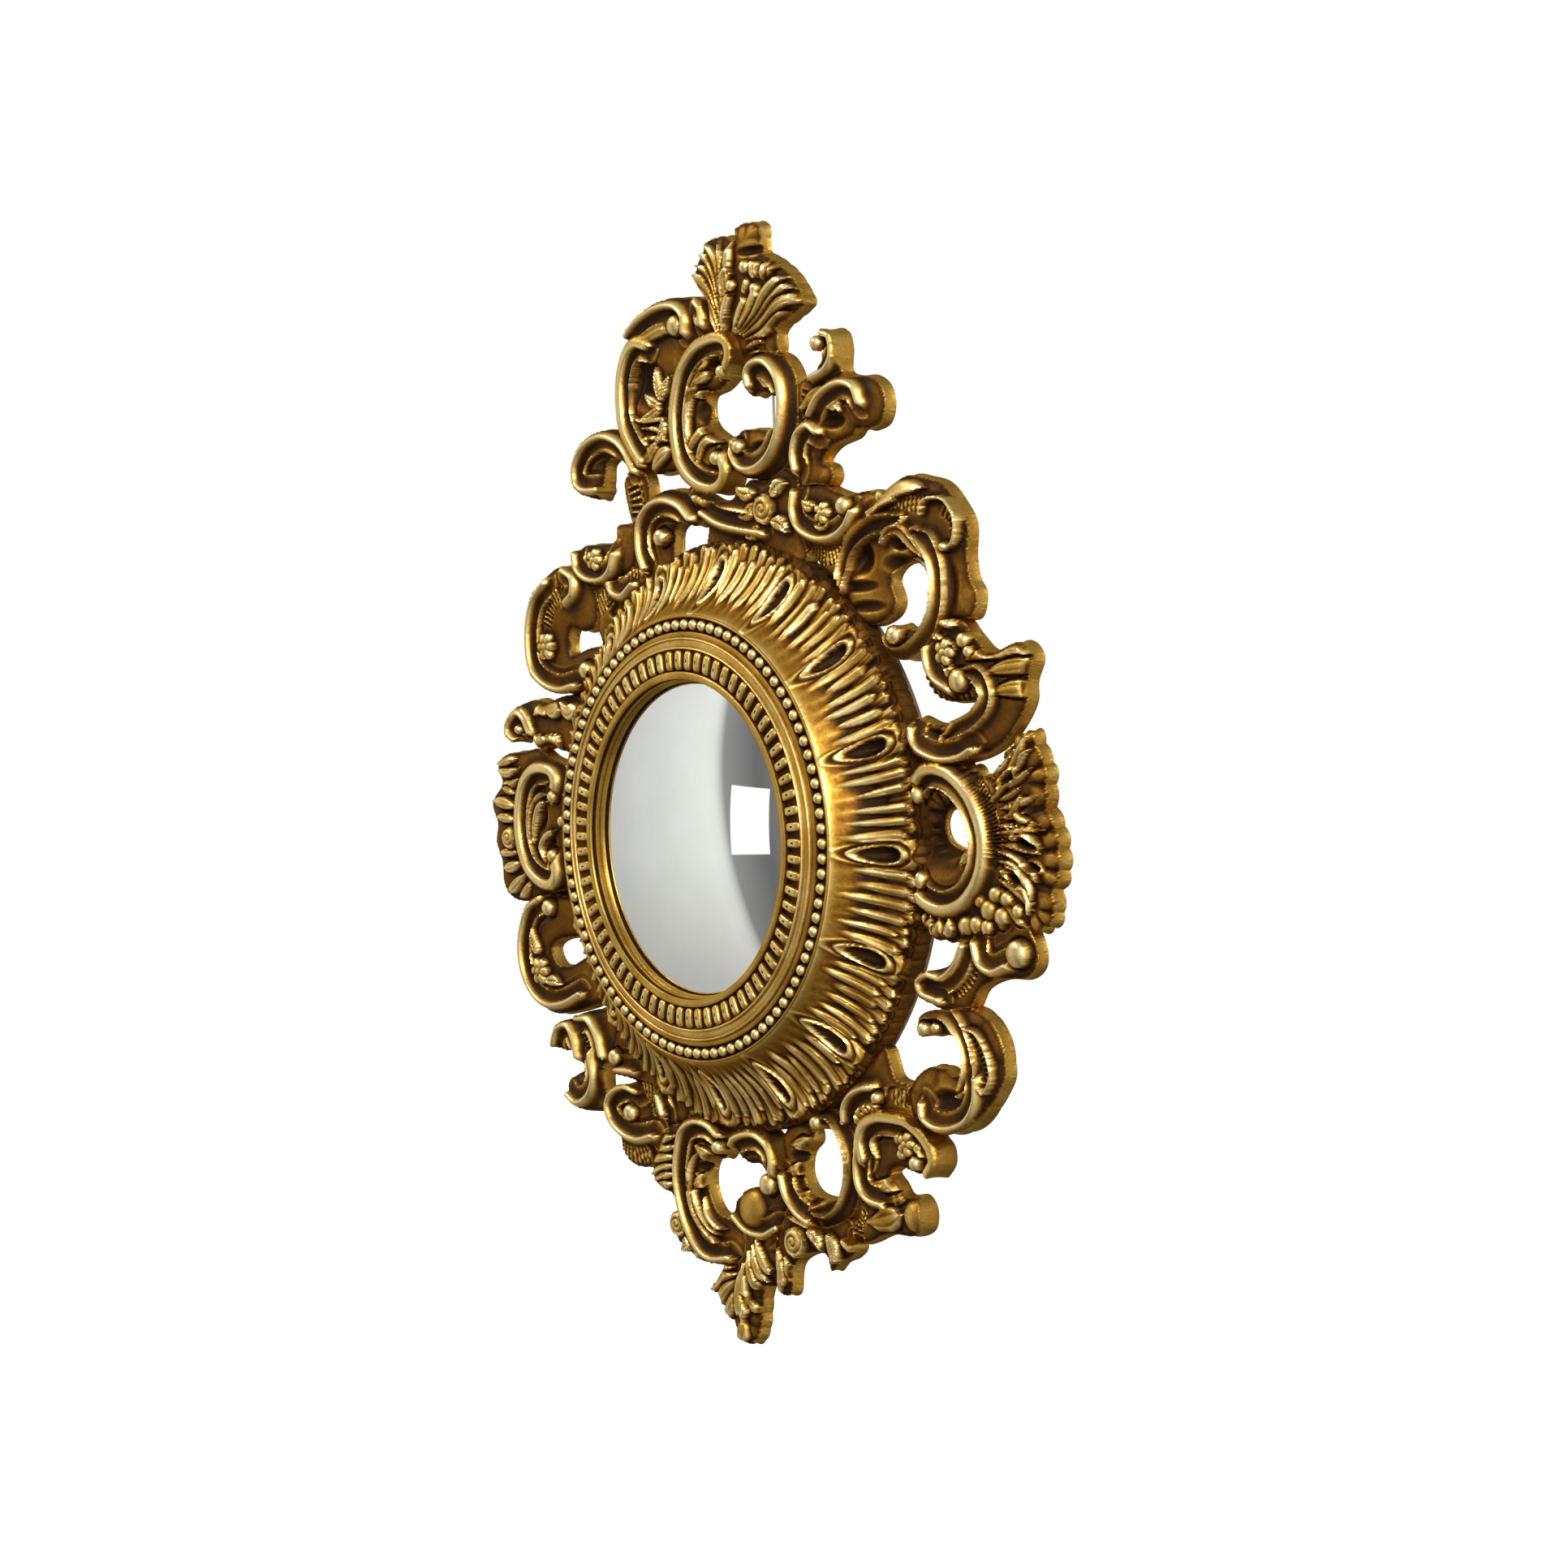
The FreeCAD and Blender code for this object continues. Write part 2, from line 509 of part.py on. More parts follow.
def make_ground():
    """The turned ground ring that everything is fixed to, with its bore and the board's rebate."""
    ground = turned_body("ground_blank", [
        (BORE_RADIUS, BOARD_TOP), (BORE_RADIUS, "ground_shoulder"),
        (BEZEL_RADIUS, "ground_shoulder"), (BEZEL_RADIUS + " + border_width * 0.3",
                                            "ground_shoulder - border_width * 0.42"),
        (BEZEL_RADIUS + " + border_width * 0.65", "wall_gap + rim_edge_thickness * 1.5"),
        (RIM_RADIUS, RIM_TOP), (RIM_RADIUS, "0"),
        (BOARD_RADIUS + " + recess_width", "0"), (BOARD_RADIUS + " + recess_width", "wall_gap"),
        (BOARD_RADIUS + " + board_clearance", "wall_gap"),
        (BOARD_RADIUS + " + board_clearance", BOARD_TOP),
    ])
    ground.Placement = Placement()
    doc.recompute()
    pilot = size("screw_radius") + size("pilot_clearance")
    top = size("wall_gap") + size("screw_depth")
    holes = [cylinder_up(spot, pilot, 0, top) for spot in button_pivots()]
    return plain("turned_ground", ground.Shape.cut(holes))


def button_pivots():
    """Where the turn buttons are screwed down, just outside the board."""
    radius = number(BOARD_RADIUS) + size("board_clearance") + size("button_width") / 2
    return [around(angle, radius) for angle in BUTTON_ANGLES]


def make_bezel():
    """The turned bezel: lip, block track, two fine beads, pearl track and outer bead."""
    return turned_body("sight_bezel", [
        ("sight_radius", GLASS_SEAT), ("sight_radius", "lip_height - bead_rise / 2"),
        ("sight_radius + bead_rise / 2", "lip_height"), (LIP_RADIUS, "lip_height"),
        (LIP_RADIUS, BLOCK_FLOOR), (TRACK_END, BLOCK_FLOOR),
        (TRACK_END, "lip_height - bezel_fall * 0.2"),
        (INNER_BEAD_END, "lip_height - bezel_fall * 0.2"),
        (INNER_BEAD_END, "lip_height - bezel_fall * 0.2 - bead_rise"),
        (FLAT_END, "lip_height - bezel_fall * 0.4 - bead_rise"),
        (FLAT_END, "lip_height - bezel_fall * 0.4"), (OUTER_BEAD_END, "lip_height - bezel_fall * 0.4"),
        (OUTER_BEAD_END, "lip_height - bezel_fall * 0.5 - bead_rise"),
        (SLOPE_END, "lip_height - bezel_fall * 0.7 - bead_rise"), (SLOPE_END, PEARL_FLOOR),
        (PEARL_END, PEARL_FLOOR), (PEARL_END, BEZEL_EDGE), (BEZEL_RADIUS, BEZEL_EDGE),
        (BEZEL_RADIUS, "ground_shoulder"), (BORE_RADIUS, "ground_shoulder"),
        (BORE_RADIUS, GLASS_SEAT),
    ])


def glass_sphere():
    """Radius and centre height of the glass's front, which touches the bezel at the sight edge."""
    edge = number(GLASS_RADIUS)
    rise = size("glass_rise")
    radius = (edge ** 2 + rise ** 2) / (2 * rise)
    seat = number(GLASS_SEAT) - size("row_clearance")
    return radius, seat - math.sqrt(radius ** 2 - size("sight_radius") ** 2)


def make_glass():
    """The convex glass: a dome of even thickness with a ground edge."""
    radius, centre = glass_sphere()
    front = Part.makeSphere(radius, Vector(0, 0, centre))
    back = Part.makeSphere(radius - size("glass_thickness"), Vector(0, 0, centre))
    disc = Part.makeCylinder(number(GLASS_RADIUS), 2 * radius, Vector(0, 0, centre))
    return plain("convex_mirror_glass", front.cut(back).common(disc))


def glass_back():
    """Height of the glass's lowest edge at its back."""
    radius, centre = glass_sphere()
    inner = radius - size("glass_thickness")
    return centre + math.sqrt(inner ** 2 - number(GLASS_RADIUS) ** 2)


def flat_ring(outer, inner, low, high):
    """A flat ring between two heights."""
    ring = Part.makeCylinder(outer, high - low, Vector(0, 0, low))
    return ring.cut(Part.makeCylinder(inner, high - low, Vector(0, 0, low)))


def make_gasket_and_hoop():
    """A felt gasket behind the glass and the bent hoop that holds it off the backing board."""
    outer = number(GLASS_RADIUS)
    inner = outer - size("hoop_wall")
    gasket_top = glass_back() - size("rest_clearance")
    gasket_low = gasket_top - size("gasket_thickness")
    hoop_top = gasket_low - size("rest_clearance")
    plain("glass_gasket", flat_ring(outer, inner, gasket_low, gasket_top))
    plain("spacer_hoop", flat_ring(outer, inner, number(BOARD_TOP), hoop_top))


def make_board():
    """The backing board, a thin round panel in the ground's rebate."""
    board = primitive("Cylinder", "backing_board", Radius=BOARD_RADIUS, Height="board_thickness")
    board.Label = "backing_board"
    board.Placement = STAND_UP * Placement(Vector(0, 0, size("wall_gap")), Rotation())
    board.setExpression("Placement.Base.y", bound("-wall_gap"))
    return board


# ---------------------------------------------------------------- rows of blocks and pearls

def make_blocks():
    """The row of round-topped blocks on one strip, each lying along a radius."""
    inner = number(LIP_RADIUS) + size("row_clearance")
    outer = number(TRACK_END) - size("row_clearance")
    floor = number(BLOCK_FLOOR)
    top = floor + size("strip_thickness")
    half = size("block_width") / 2
    start = inner + size("block_side")
    length = outer - inner - 2 * size("block_side")
    arch = Part.Arc(Vector(start, -half, top), Vector(start, 0, top + half), Vector(start, half, top))
    sides = [Vector(start, half, top), Vector(start, half, floor), Vector(start, -half, floor),
             Vector(start, -half, top)]
    lines = [Part.LineSegment(a, b).toShape() for a, b in zip(sides, sides[1:])]
    block = Part.Face(Part.Wire([arch.toShape()] + lines)).extrude(Vector(length, 0, 0))
    blocks = []
    for index in range(count("block_count")):
        copy = block.copy()
        copy.rotate(Vector(0, 0, 0), Vector(0, 0, 1), 360 * index / count("block_count"))
        blocks.append(copy)
    return plain("block_strip", flat_ring(outer, inner, floor, top).fuse(blocks))


def make_pearls():
    """The row of pearls on one strip."""
    inner = number(SLOPE_END) + size("row_clearance")
    outer = number(PEARL_END) - size("row_clearance")
    floor = number(PEARL_FLOOR)
    radius = size("pearl_diameter") / 2
    centre = floor + radius - size("pearl_sink")
    low_angle = -math.degrees(math.asin((centre - floor) / radius))
    pearls = []
    for index in range(count("pearl_count")):
        spot = around(360 * index / count("pearl_count"), (inner + outer) / 2, centre)
        pearls.append(Part.makeSphere(radius, spot, Vector(0, 0, 1), low_angle, 90, 360))
    strip = flat_ring(outer, inner, floor, floor + size("strip_thickness"))
    return plain("pearl_strip", strip.fuse(pearls))


# ---------------------------------------------------------------- flame border

def make_flame_border():
    """The coved border: deep ovals with fine flutes between them, over the ground's cove."""
    inner = number(BEZEL_RADIUS)
    width = size("border_width")
    shoulder = size("ground_shoulder")
    thick = size("border_thickness")
    low = size("wall_gap") + size("rim_edge_thickness")
    mid = size("wall_gap") + size("rim_edge_thickness") * 1.5
    under = [(inner, shoulder), (inner + width * 0.3, shoulder - width * 0.42),
             (inner + width * 0.65, mid), (inner + width, low)]
    over = [(inner + width, low + size("border_edge_rise")),
            (inner + width * 0.6, low + size("border_edge_rise") + width * 0.04),
            (inner + width * 0.3, shoulder - width * 0.42 + thick * 1.6),
            (inner, shoulder + thick)]
    corners = [Vector(radius, 0, height) for radius, height in under + over]
    section = Part.Face(Part.makePolygon(corners + corners[:1]))
    ring = section.revolve(Vector(0, 0, 0), Vector(0, 0, 1), 360)
    cutters = []
    motifs = count("motif_count")
    steps = count("flutes_per_motif") + 1
    start = inner + width * 0.34
    start_height = shoulder - width * 0.42 + thick * 1.6
    end_height = low + size("border_edge_rise")
    lift = size("flute_radius") - size("flute_depth")
    for index in range(motifs * steps):
        angle = 360 * index / (motifs * steps)
        if index % steps == 0:
            middle = inner + width * 0.6
            oval = Part.makeSphere(1)
            matrix = FreeCAD.Matrix()
            matrix.scale(size("oval_half_length"), size("oval_half_width"), size("oval_half_width"))
            oval = oval.transformGeometry(matrix)
            oval.translate(Vector(middle, 0, end_height + width * 0.06 + 1))
            oval.rotate(Vector(0, 0, 0), Vector(0, 0, 1), angle)
            cutters.append(oval)
            continue
        first = Vector(start, 0, start_height + lift)
        second = Vector(inner + width + size("flute_radius"), 0, end_height + lift)
        along = second - first
        flute = Part.makeCylinder(size("flute_radius"), along.Length, first, along)
        flute.rotate(Vector(0, 0, 0), Vector(0, 0, 1), angle)
        cutters.append(flute)
    return plain("flame_border", ring.cut(cutters))


# ---------------------------------------------------------------- castings

def on_rim(point):
    """A drawn point moved out or in along its radius, so that the castings follow the border."""
    distance = math.hypot(point[0], point[1])
    factor = (distance + number(RIM_RADIUS) - DRAWN_RIM) / distance
    return Vector(point[0] * factor, point[1] * factor, 0)


def headings(points, closed):
    """The direction of travel at each point of a run."""
    last = len(points) - 1
    found = []
    for index in range(len(points)):
        before = points[index - 1] if closed or index > 0 else points[index]
        after = points[(index + 1) % len(points)] if closed or index < last else points[index]
        found.append((after - before).normalize())
    return found


def arc_edge(start, heading, end):
    """An arc, or a line, that leaves the start along its heading and reaches the end."""
    chord = end - start
    along = heading.dot(chord) / chord.Length
    across = heading - chord * (along / chord.Length)
    if across.Length < 0.01:
        return Part.LineSegment(start, end).toShape()
    bulge = chord.Length / 2 * math.tan(math.acos(max(-1.0, min(1.0, along))) / 2)
    middle = (start + end) / 2 + across.normalize() * bulge
    return Part.Arc(start, middle, end).toShape()


def double_arc(start, first, end, second):
    """Two arcs that join two points along their headings and meet smoothly between them."""
    chord = end - start
    total = first + second
    spread = 2 * (1 - first.dot(second))
    if spread < 0.001:
        reach = chord.dot(chord) / (4 * chord.dot(second))
    else:
        root = math.sqrt(chord.dot(total) ** 2 + spread * chord.dot(chord))
        reach = (root - chord.dot(total)) / spread
    joint = (start + end + (first - second) * reach) / 2
    heading = (joint - start - first * reach).normalize()
    return [arc_edge(start, first, joint), arc_edge(joint, heading, end)]


def smooth_run(points, courses):
    """Edges that pass smoothly through the points along the given headings."""
    edges = []
    for index in range(len(points) - 1):
        edges += double_arc(points[index], courses[index], points[index + 1], courses[index + 1])
    return edges


def upright(edges, low, high):
    """A solid with the given flat outline between two heights."""
    face = Part.Face(Part.Wire(edges))
    face.translate(Vector(0, 0, low))
    return face.extrude(Vector(0, 0, high - low))


def prism(outline, low, high):
    """A smooth closed outline between two heights."""
    points = [on_rim(point) for point in outline]
    courses = headings(points, True)
    return upright(smooth_run(points + points[:1], courses + courses[:1]), low, high)


def strap(path, half, low, high):
    """A narrow ridge of even width with round ends along an open path, between two heights."""
    points = [on_rim(point) for point in path]
    courses = headings(points, False)
    asides = [Vector(-course.y, course.x, 0) * half for course in courses]
    left = [point + aside for point, aside in zip(points, asides)]
    right = [point - aside for point, aside in zip(points, asides)]
    far_cap = Part.Arc(left[-1], points[-1] + courses[-1] * half, right[-1]).toShape()
    near_cap = Part.Arc(right[0], points[0] - courses[0] * half, left[0]).toShape()
    right.reverse()
    back = [course * -1 for course in reversed(courses)]
    edges = smooth_run(left, courses) + [far_cap] + smooth_run(right, back) + [near_cap]
    return upright(edges, low, high)


def eye(x, y, radius, low, high):
    """A round boss with a domed top."""
    rise = radius * 0.7
    crown = (radius ** 2 + rise ** 2) / (2 * rise)
    centre = high - crown
    shoulder = high - rise
    halfway = (math.atan2(shoulder - centre, radius) + math.pi / 2) / 2
    nearby = Vector(crown * math.cos(halfway), 0, centre + crown * math.sin(halfway))
    axis_foot = Vector(0, 0, low)
    axis_top = Vector(0, 0, high)
    foot = Vector(radius, 0, low)
    neck = Vector(radius, 0, shoulder)
    edges = [Part.LineSegment(axis_foot, foot).toShape(), Part.LineSegment(foot, neck).toShape(),
             Part.Arc(neck, nearby, axis_top).toShape(),
             Part.LineSegment(axis_top, axis_foot).toShape()]
    boss = Part.Face(Part.Wire(edges)).revolve(Vector(0, 0, 0), Vector(0, 0, 1), 360)
    boss.translate(on_rim((x, y)))
    return boss


def make_castings():
    """The castings, each cut back from the ones before it and from the border."""
    low = size("wall_gap")
    body_top = low + size("casting_body")
    rim_top = low + size("casting_rim")
    keep_out = Part.makeCylinder(number(RIM_RADIUS) + size("glue_line"), rim_top + 1)
    holes_for_screws = pilot_holes()
    made = {}
    for label, drawing in CASTINGS.items():
        parts = [strap(path, size("rim_half_width"), low, rim_top) for path in drawing["rims"]]
        parts += [eye(x, y, radius, low, rim_top) for x, y, radius in drawing["eyes"]]
        shape = prism(drawing["edge"], low, body_top)
        if parts:
            shape = shape.fuse(parts)
        taken = [other for other in made.values() if shape.BoundBox.intersect(other.BoundBox)]
        holes = [prism(hole, low - 1, rim_top + 1) for hole in drawing.get("holes", [])]
        near = [hole for hole in holes_for_screws if shape.BoundBox.intersect(hole.BoundBox)]
        shape = shape.cut([keep_out] + holes + near + taken)
        made[label] = max(shape.Solids, key=lambda solid: solid.Volume)
    return made


# ---------------------------------------------------------------- back fittings

def headed_screw(centre, shank, head, head_low, head_top, tip):
    """A pan-headed screw whose head faces the wall, with a driver's slot."""
    body = Part.makeCylinder(head, head_top - head_low, Vector(centre.x, centre.y, head_low))
    body = body.fuse(cylinder_up(centre, shank, head_top, tip))
    slot = Part.makeBox(2 * head + 1, size("slot_width"), size("slot_depth"),
                        Vector(centre.x - head - 0.5, centre.y - size("slot_width") / 2, head_low))
    return body.cut(slot).removeSplitter()


def make_turn_buttons():
    """Four turn buttons that hold the board in, and the screws that they turn on."""
    face = size("wall_gap") - size("button_play")
    back = face - size("button_thickness")
    head_top = back - size("button_play")
    head_low = head_top - size("screw_head_thickness")
    half = size("button_width") / 2
    reach = size("button_length") / 2 - half
    screws = []
    for number_of_button, (angle, spot) in enumerate(zip(BUTTON_ANGLES, button_pivots()), start=1):
        bar = Part.makeBox(2 * reach, 2 * half, size("button_thickness"), Vector(-reach, -half, back))
        ends = [cylinder_up(Vector(side * reach, 0, 0), half, back, face) for side in (-1, 1)]
        hole = cylinder_up(Vector(0, 0, 0), size("screw_radius") + size("pivot_play"), 0, face + 1)
        button = bar.fuse(ends).cut(hole).removeSplitter()
        button.rotate(Vector(0, 0, 0), Vector(0, 0, 1), angle)
        button.translate(spot)
        plain(f"turn_button_{number_of_button}", button)
        screws.append(headed_screw(spot, size("screw_radius"), size("screw_head_radius"), head_low,
                                   head_top, size("wall_gap") + size("screw_depth")))
    plain("button_screws", Part.makeCompound(screws))


def bail_height():
    """The height off the wall of the bail's wire, halfway into the gap behind the frame."""
    return size("wall_gap") / 2


def make_bail():
    """The wire bail that goes over the wall hook: two legs, a top and two turned-out feet."""
    radius = size("bail_wire") / 2
    corner = size("bail_corner")
    left = size("bail_left")
    right = size("bail_right")
    low = on_rim((0, size("bail_foot_height"))).y
    top = low + size("bail_rise")
    foot = size("bail_foot")
    bend = 1.5 * size("bail_wire")
    high = bail_height()

    def spot(x, y):
        return Vector(x, y, high)

    def bent(start, middle, end, reach):
        """The two ends and the middle of an arc that rounds a corner."""
        first = (start - middle).normalize() * reach
        last = (end - middle).normalize() * reach
        centre = middle + first + last
        nearest = centre + (middle - centre).normalize() * reach
        return middle + first, nearest, middle + last

    corners = [spot(left - foot, low), spot(left, low), spot(left, top), spot(right, top),
               spot(right, low), spot(right + foot, low)]
    reaches = [bend, corner, corner, bend]
    edges = []
    place = corners[0]
    for index, reach in enumerate(reaches, start=1):
        first, nearest, last = bent(corners[index - 1], corners[index], corners[index + 1], reach)
        edges.append(Part.LineSegment(place, first).toShape())
        edges.append(Part.Arc(first, nearest, last).toShape())
        place = last
    edges.append(Part.LineSegment(place, corners[-1]).toShape())
    ring = Part.Wire([Part.Circle(corners[0], Vector(1, 0, 0), radius).toShape()])
    wire = Part.Wire(edges).makePipeShell([ring], True, True)
    plain("hanging_bail", wire)


def eye_spots():
    """Centres of the two eye plates, beside the bail's legs."""
    low = on_rim((0, size("bail_foot_height"))).y
    middle = size("bail_foot") - size("knuckle_length") / 2
    return [Vector(size("bail_left") - middle, low, 0), Vector(size("bail_right") + middle, low, 0)]


def plate_screw_spots(centre):
    """The two screws of an eye plate, above and below its knuckle."""
    step = Vector(0, size("plate_screw_spacing") / 2, 0)
    return [centre - step, centre + step]


def make_bail_eyes():
    """Two eye plates with a knuckle each for the bail's feet, and their screws."""
    face = size("wall_gap")
    back = face - size("plate_thickness")
    bore = size("bail_wire") / 2 + size("pivot_play")
    outer = bore + size("knuckle_wall")
    length = size("knuckle_length")
    eyes = []
    screws = []
    for centre in eye_spots():
        corner = centre - Vector(size("plate_width") / 2, size("plate_height") / 2, -back)
        plate = Part.makeBox(size("plate_width"), size("plate_height"), size("plate_thickness"), corner)
        start = Vector(centre.x - length / 2, centre.y, bail_height())
        knuckle = Part.makeCylinder(outer, length, start, Vector(1, 0, 0))
        web = Part.makeBox(length, 2 * outer, back - bail_height() + 0.1,
                           start - Vector(0, outer, 0))
        span = Vector(2 * length, 0, 0)
        tunnel = Part.makeCylinder(bore, 5 * length, start - span, Vector(1, 0, 0))
        body = plate.fuse([knuckle, web])
        body = body.cut(tunnel)
        for spot in plate_screw_spots(centre):
            body = body.cut(cylinder_up(spot, size("plate_screw_radius") + size("pilot_clearance"), 0, face))
            screws.append(headed_screw(spot, size("plate_screw_radius"), size("plate_screw_head"),
                                       back - size("plate_thickness"), back,
                                       face + size("plate_screw_depth")))
        eyes.append(body.removeSplitter())
    plain("bail_eyes", Part.makeCompound(eyes))
    plain("bail_eye_screws", Part.makeCompound(screws))


def pilot_holes():
    """The holes in the castings for the eye plates' screws."""
    radius = size("plate_screw_radius") + size("pilot_clearance")
    top = size("wall_gap") + size("plate_screw_depth")
    return [cylinder_up(spot, radius, 0, top) for centre in eye_spots()
            for spot in plate_screw_spots(centre)]


make_ground()
make_bezel()
make_glass()
make_gasket_and_hoop()
make_board()
make_blocks()
make_pearls()
make_flame_border()
for label, shape in make_castings().items():
    plain(label, shape)
make_turn_buttons()
make_bail()
make_bail_eyes()
doc.recompute()

NODES = ["turned_ground", "sight_bezel", "convex_mirror_glass", "glass_gasket", "spacer_hoop",
         "backing_board", "block_strip", "pearl_strip", "flame_border", "button_screws",
         "hanging_bail", "bail_eyes", "bail_eye_screws"]
NODES += list(CASTINGS)
NODES += [f"turn_button_{index}" for index in range(1, len(BUTTON_ANGLES) + 1)]

for item in doc.Objects:
    if "Invalid" in item.State or "Error" in item.State:
        raise RuntimeError(f"{item.Label} failed: {item.State}")
parts = {}
for item in doc.Objects:
    if item.Label in NODES:
        parts[item.Label] = item
for node in NODES:
    shape = parts[node].Shape
    if shape.isNull() or not shape.isValid():
        raise RuntimeError(f"{node} has no valid shape")

os.makedirs("parts", exist_ok=True)
for node in NODES:
    parts[node].Shape.exportStep(f"parts/{node}.step")
    box = parts[node].Shape.BoundBox
    print(f"{node}: {len(parts[node].Shape.Solids)} solids, {parts[node].Shape.Volume:.0f} mm3, "
          f"x {box.XMin:.1f}..{box.XMax:.1f} y {box.YMin:.1f}..{box.YMax:.1f} "
          f"z {box.ZMin:.1f}..{box.ZMax:.1f}")
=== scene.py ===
import math

import bpy
import numpy as np
from mathutils import Matrix, Vector


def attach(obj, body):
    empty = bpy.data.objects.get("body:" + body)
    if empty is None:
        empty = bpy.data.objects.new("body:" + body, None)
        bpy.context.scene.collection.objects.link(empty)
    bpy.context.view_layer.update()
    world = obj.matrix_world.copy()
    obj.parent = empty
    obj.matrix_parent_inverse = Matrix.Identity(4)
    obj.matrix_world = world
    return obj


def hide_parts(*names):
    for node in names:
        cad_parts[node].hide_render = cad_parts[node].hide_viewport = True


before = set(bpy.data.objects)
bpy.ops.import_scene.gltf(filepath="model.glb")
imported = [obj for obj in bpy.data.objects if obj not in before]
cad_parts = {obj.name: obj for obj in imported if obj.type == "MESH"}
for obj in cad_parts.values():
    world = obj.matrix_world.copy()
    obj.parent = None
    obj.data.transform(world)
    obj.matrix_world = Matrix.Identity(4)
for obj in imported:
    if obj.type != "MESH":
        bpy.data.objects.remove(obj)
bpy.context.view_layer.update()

# Lengths in this script are in millimetres, with u to the right, v up the wall and w off the wall.
# They become metres in the frame's axes when a mesh is made.
STEP = 0.7  # between the points of the castings' relief
BACK = 3.0  # from the wall to the castings' flat backs
RIM_TOP = 18.8  # from the wall to the top of their scroll edges
WALL_LEVELS = 7  # rings down a casting's side wall
LOW_U, HIGH_U, LOW_V, HIGH_V = -262.0, 278.0, -298.0, 350.0

SIGHT_RADIUS = 90.0
GLASS_SEAT = 43.15
BEZEL_RADIUS = 126.0
RIM_RADIUS = 166.05  # the castings' inner ends
MOTIFS, FIRST_MOTIF = 16, -2.5  # the flame border's ovals, and the angle of the first in degrees
OVAL_RADIUS = 145.5
BORDER_LOBES = 112
PEARLS, PEARL_RADIUS, PEARL_PLACE = 93, 3.25, 120.4
BLOCKS, BLOCK_PLACE = 72, 100.4

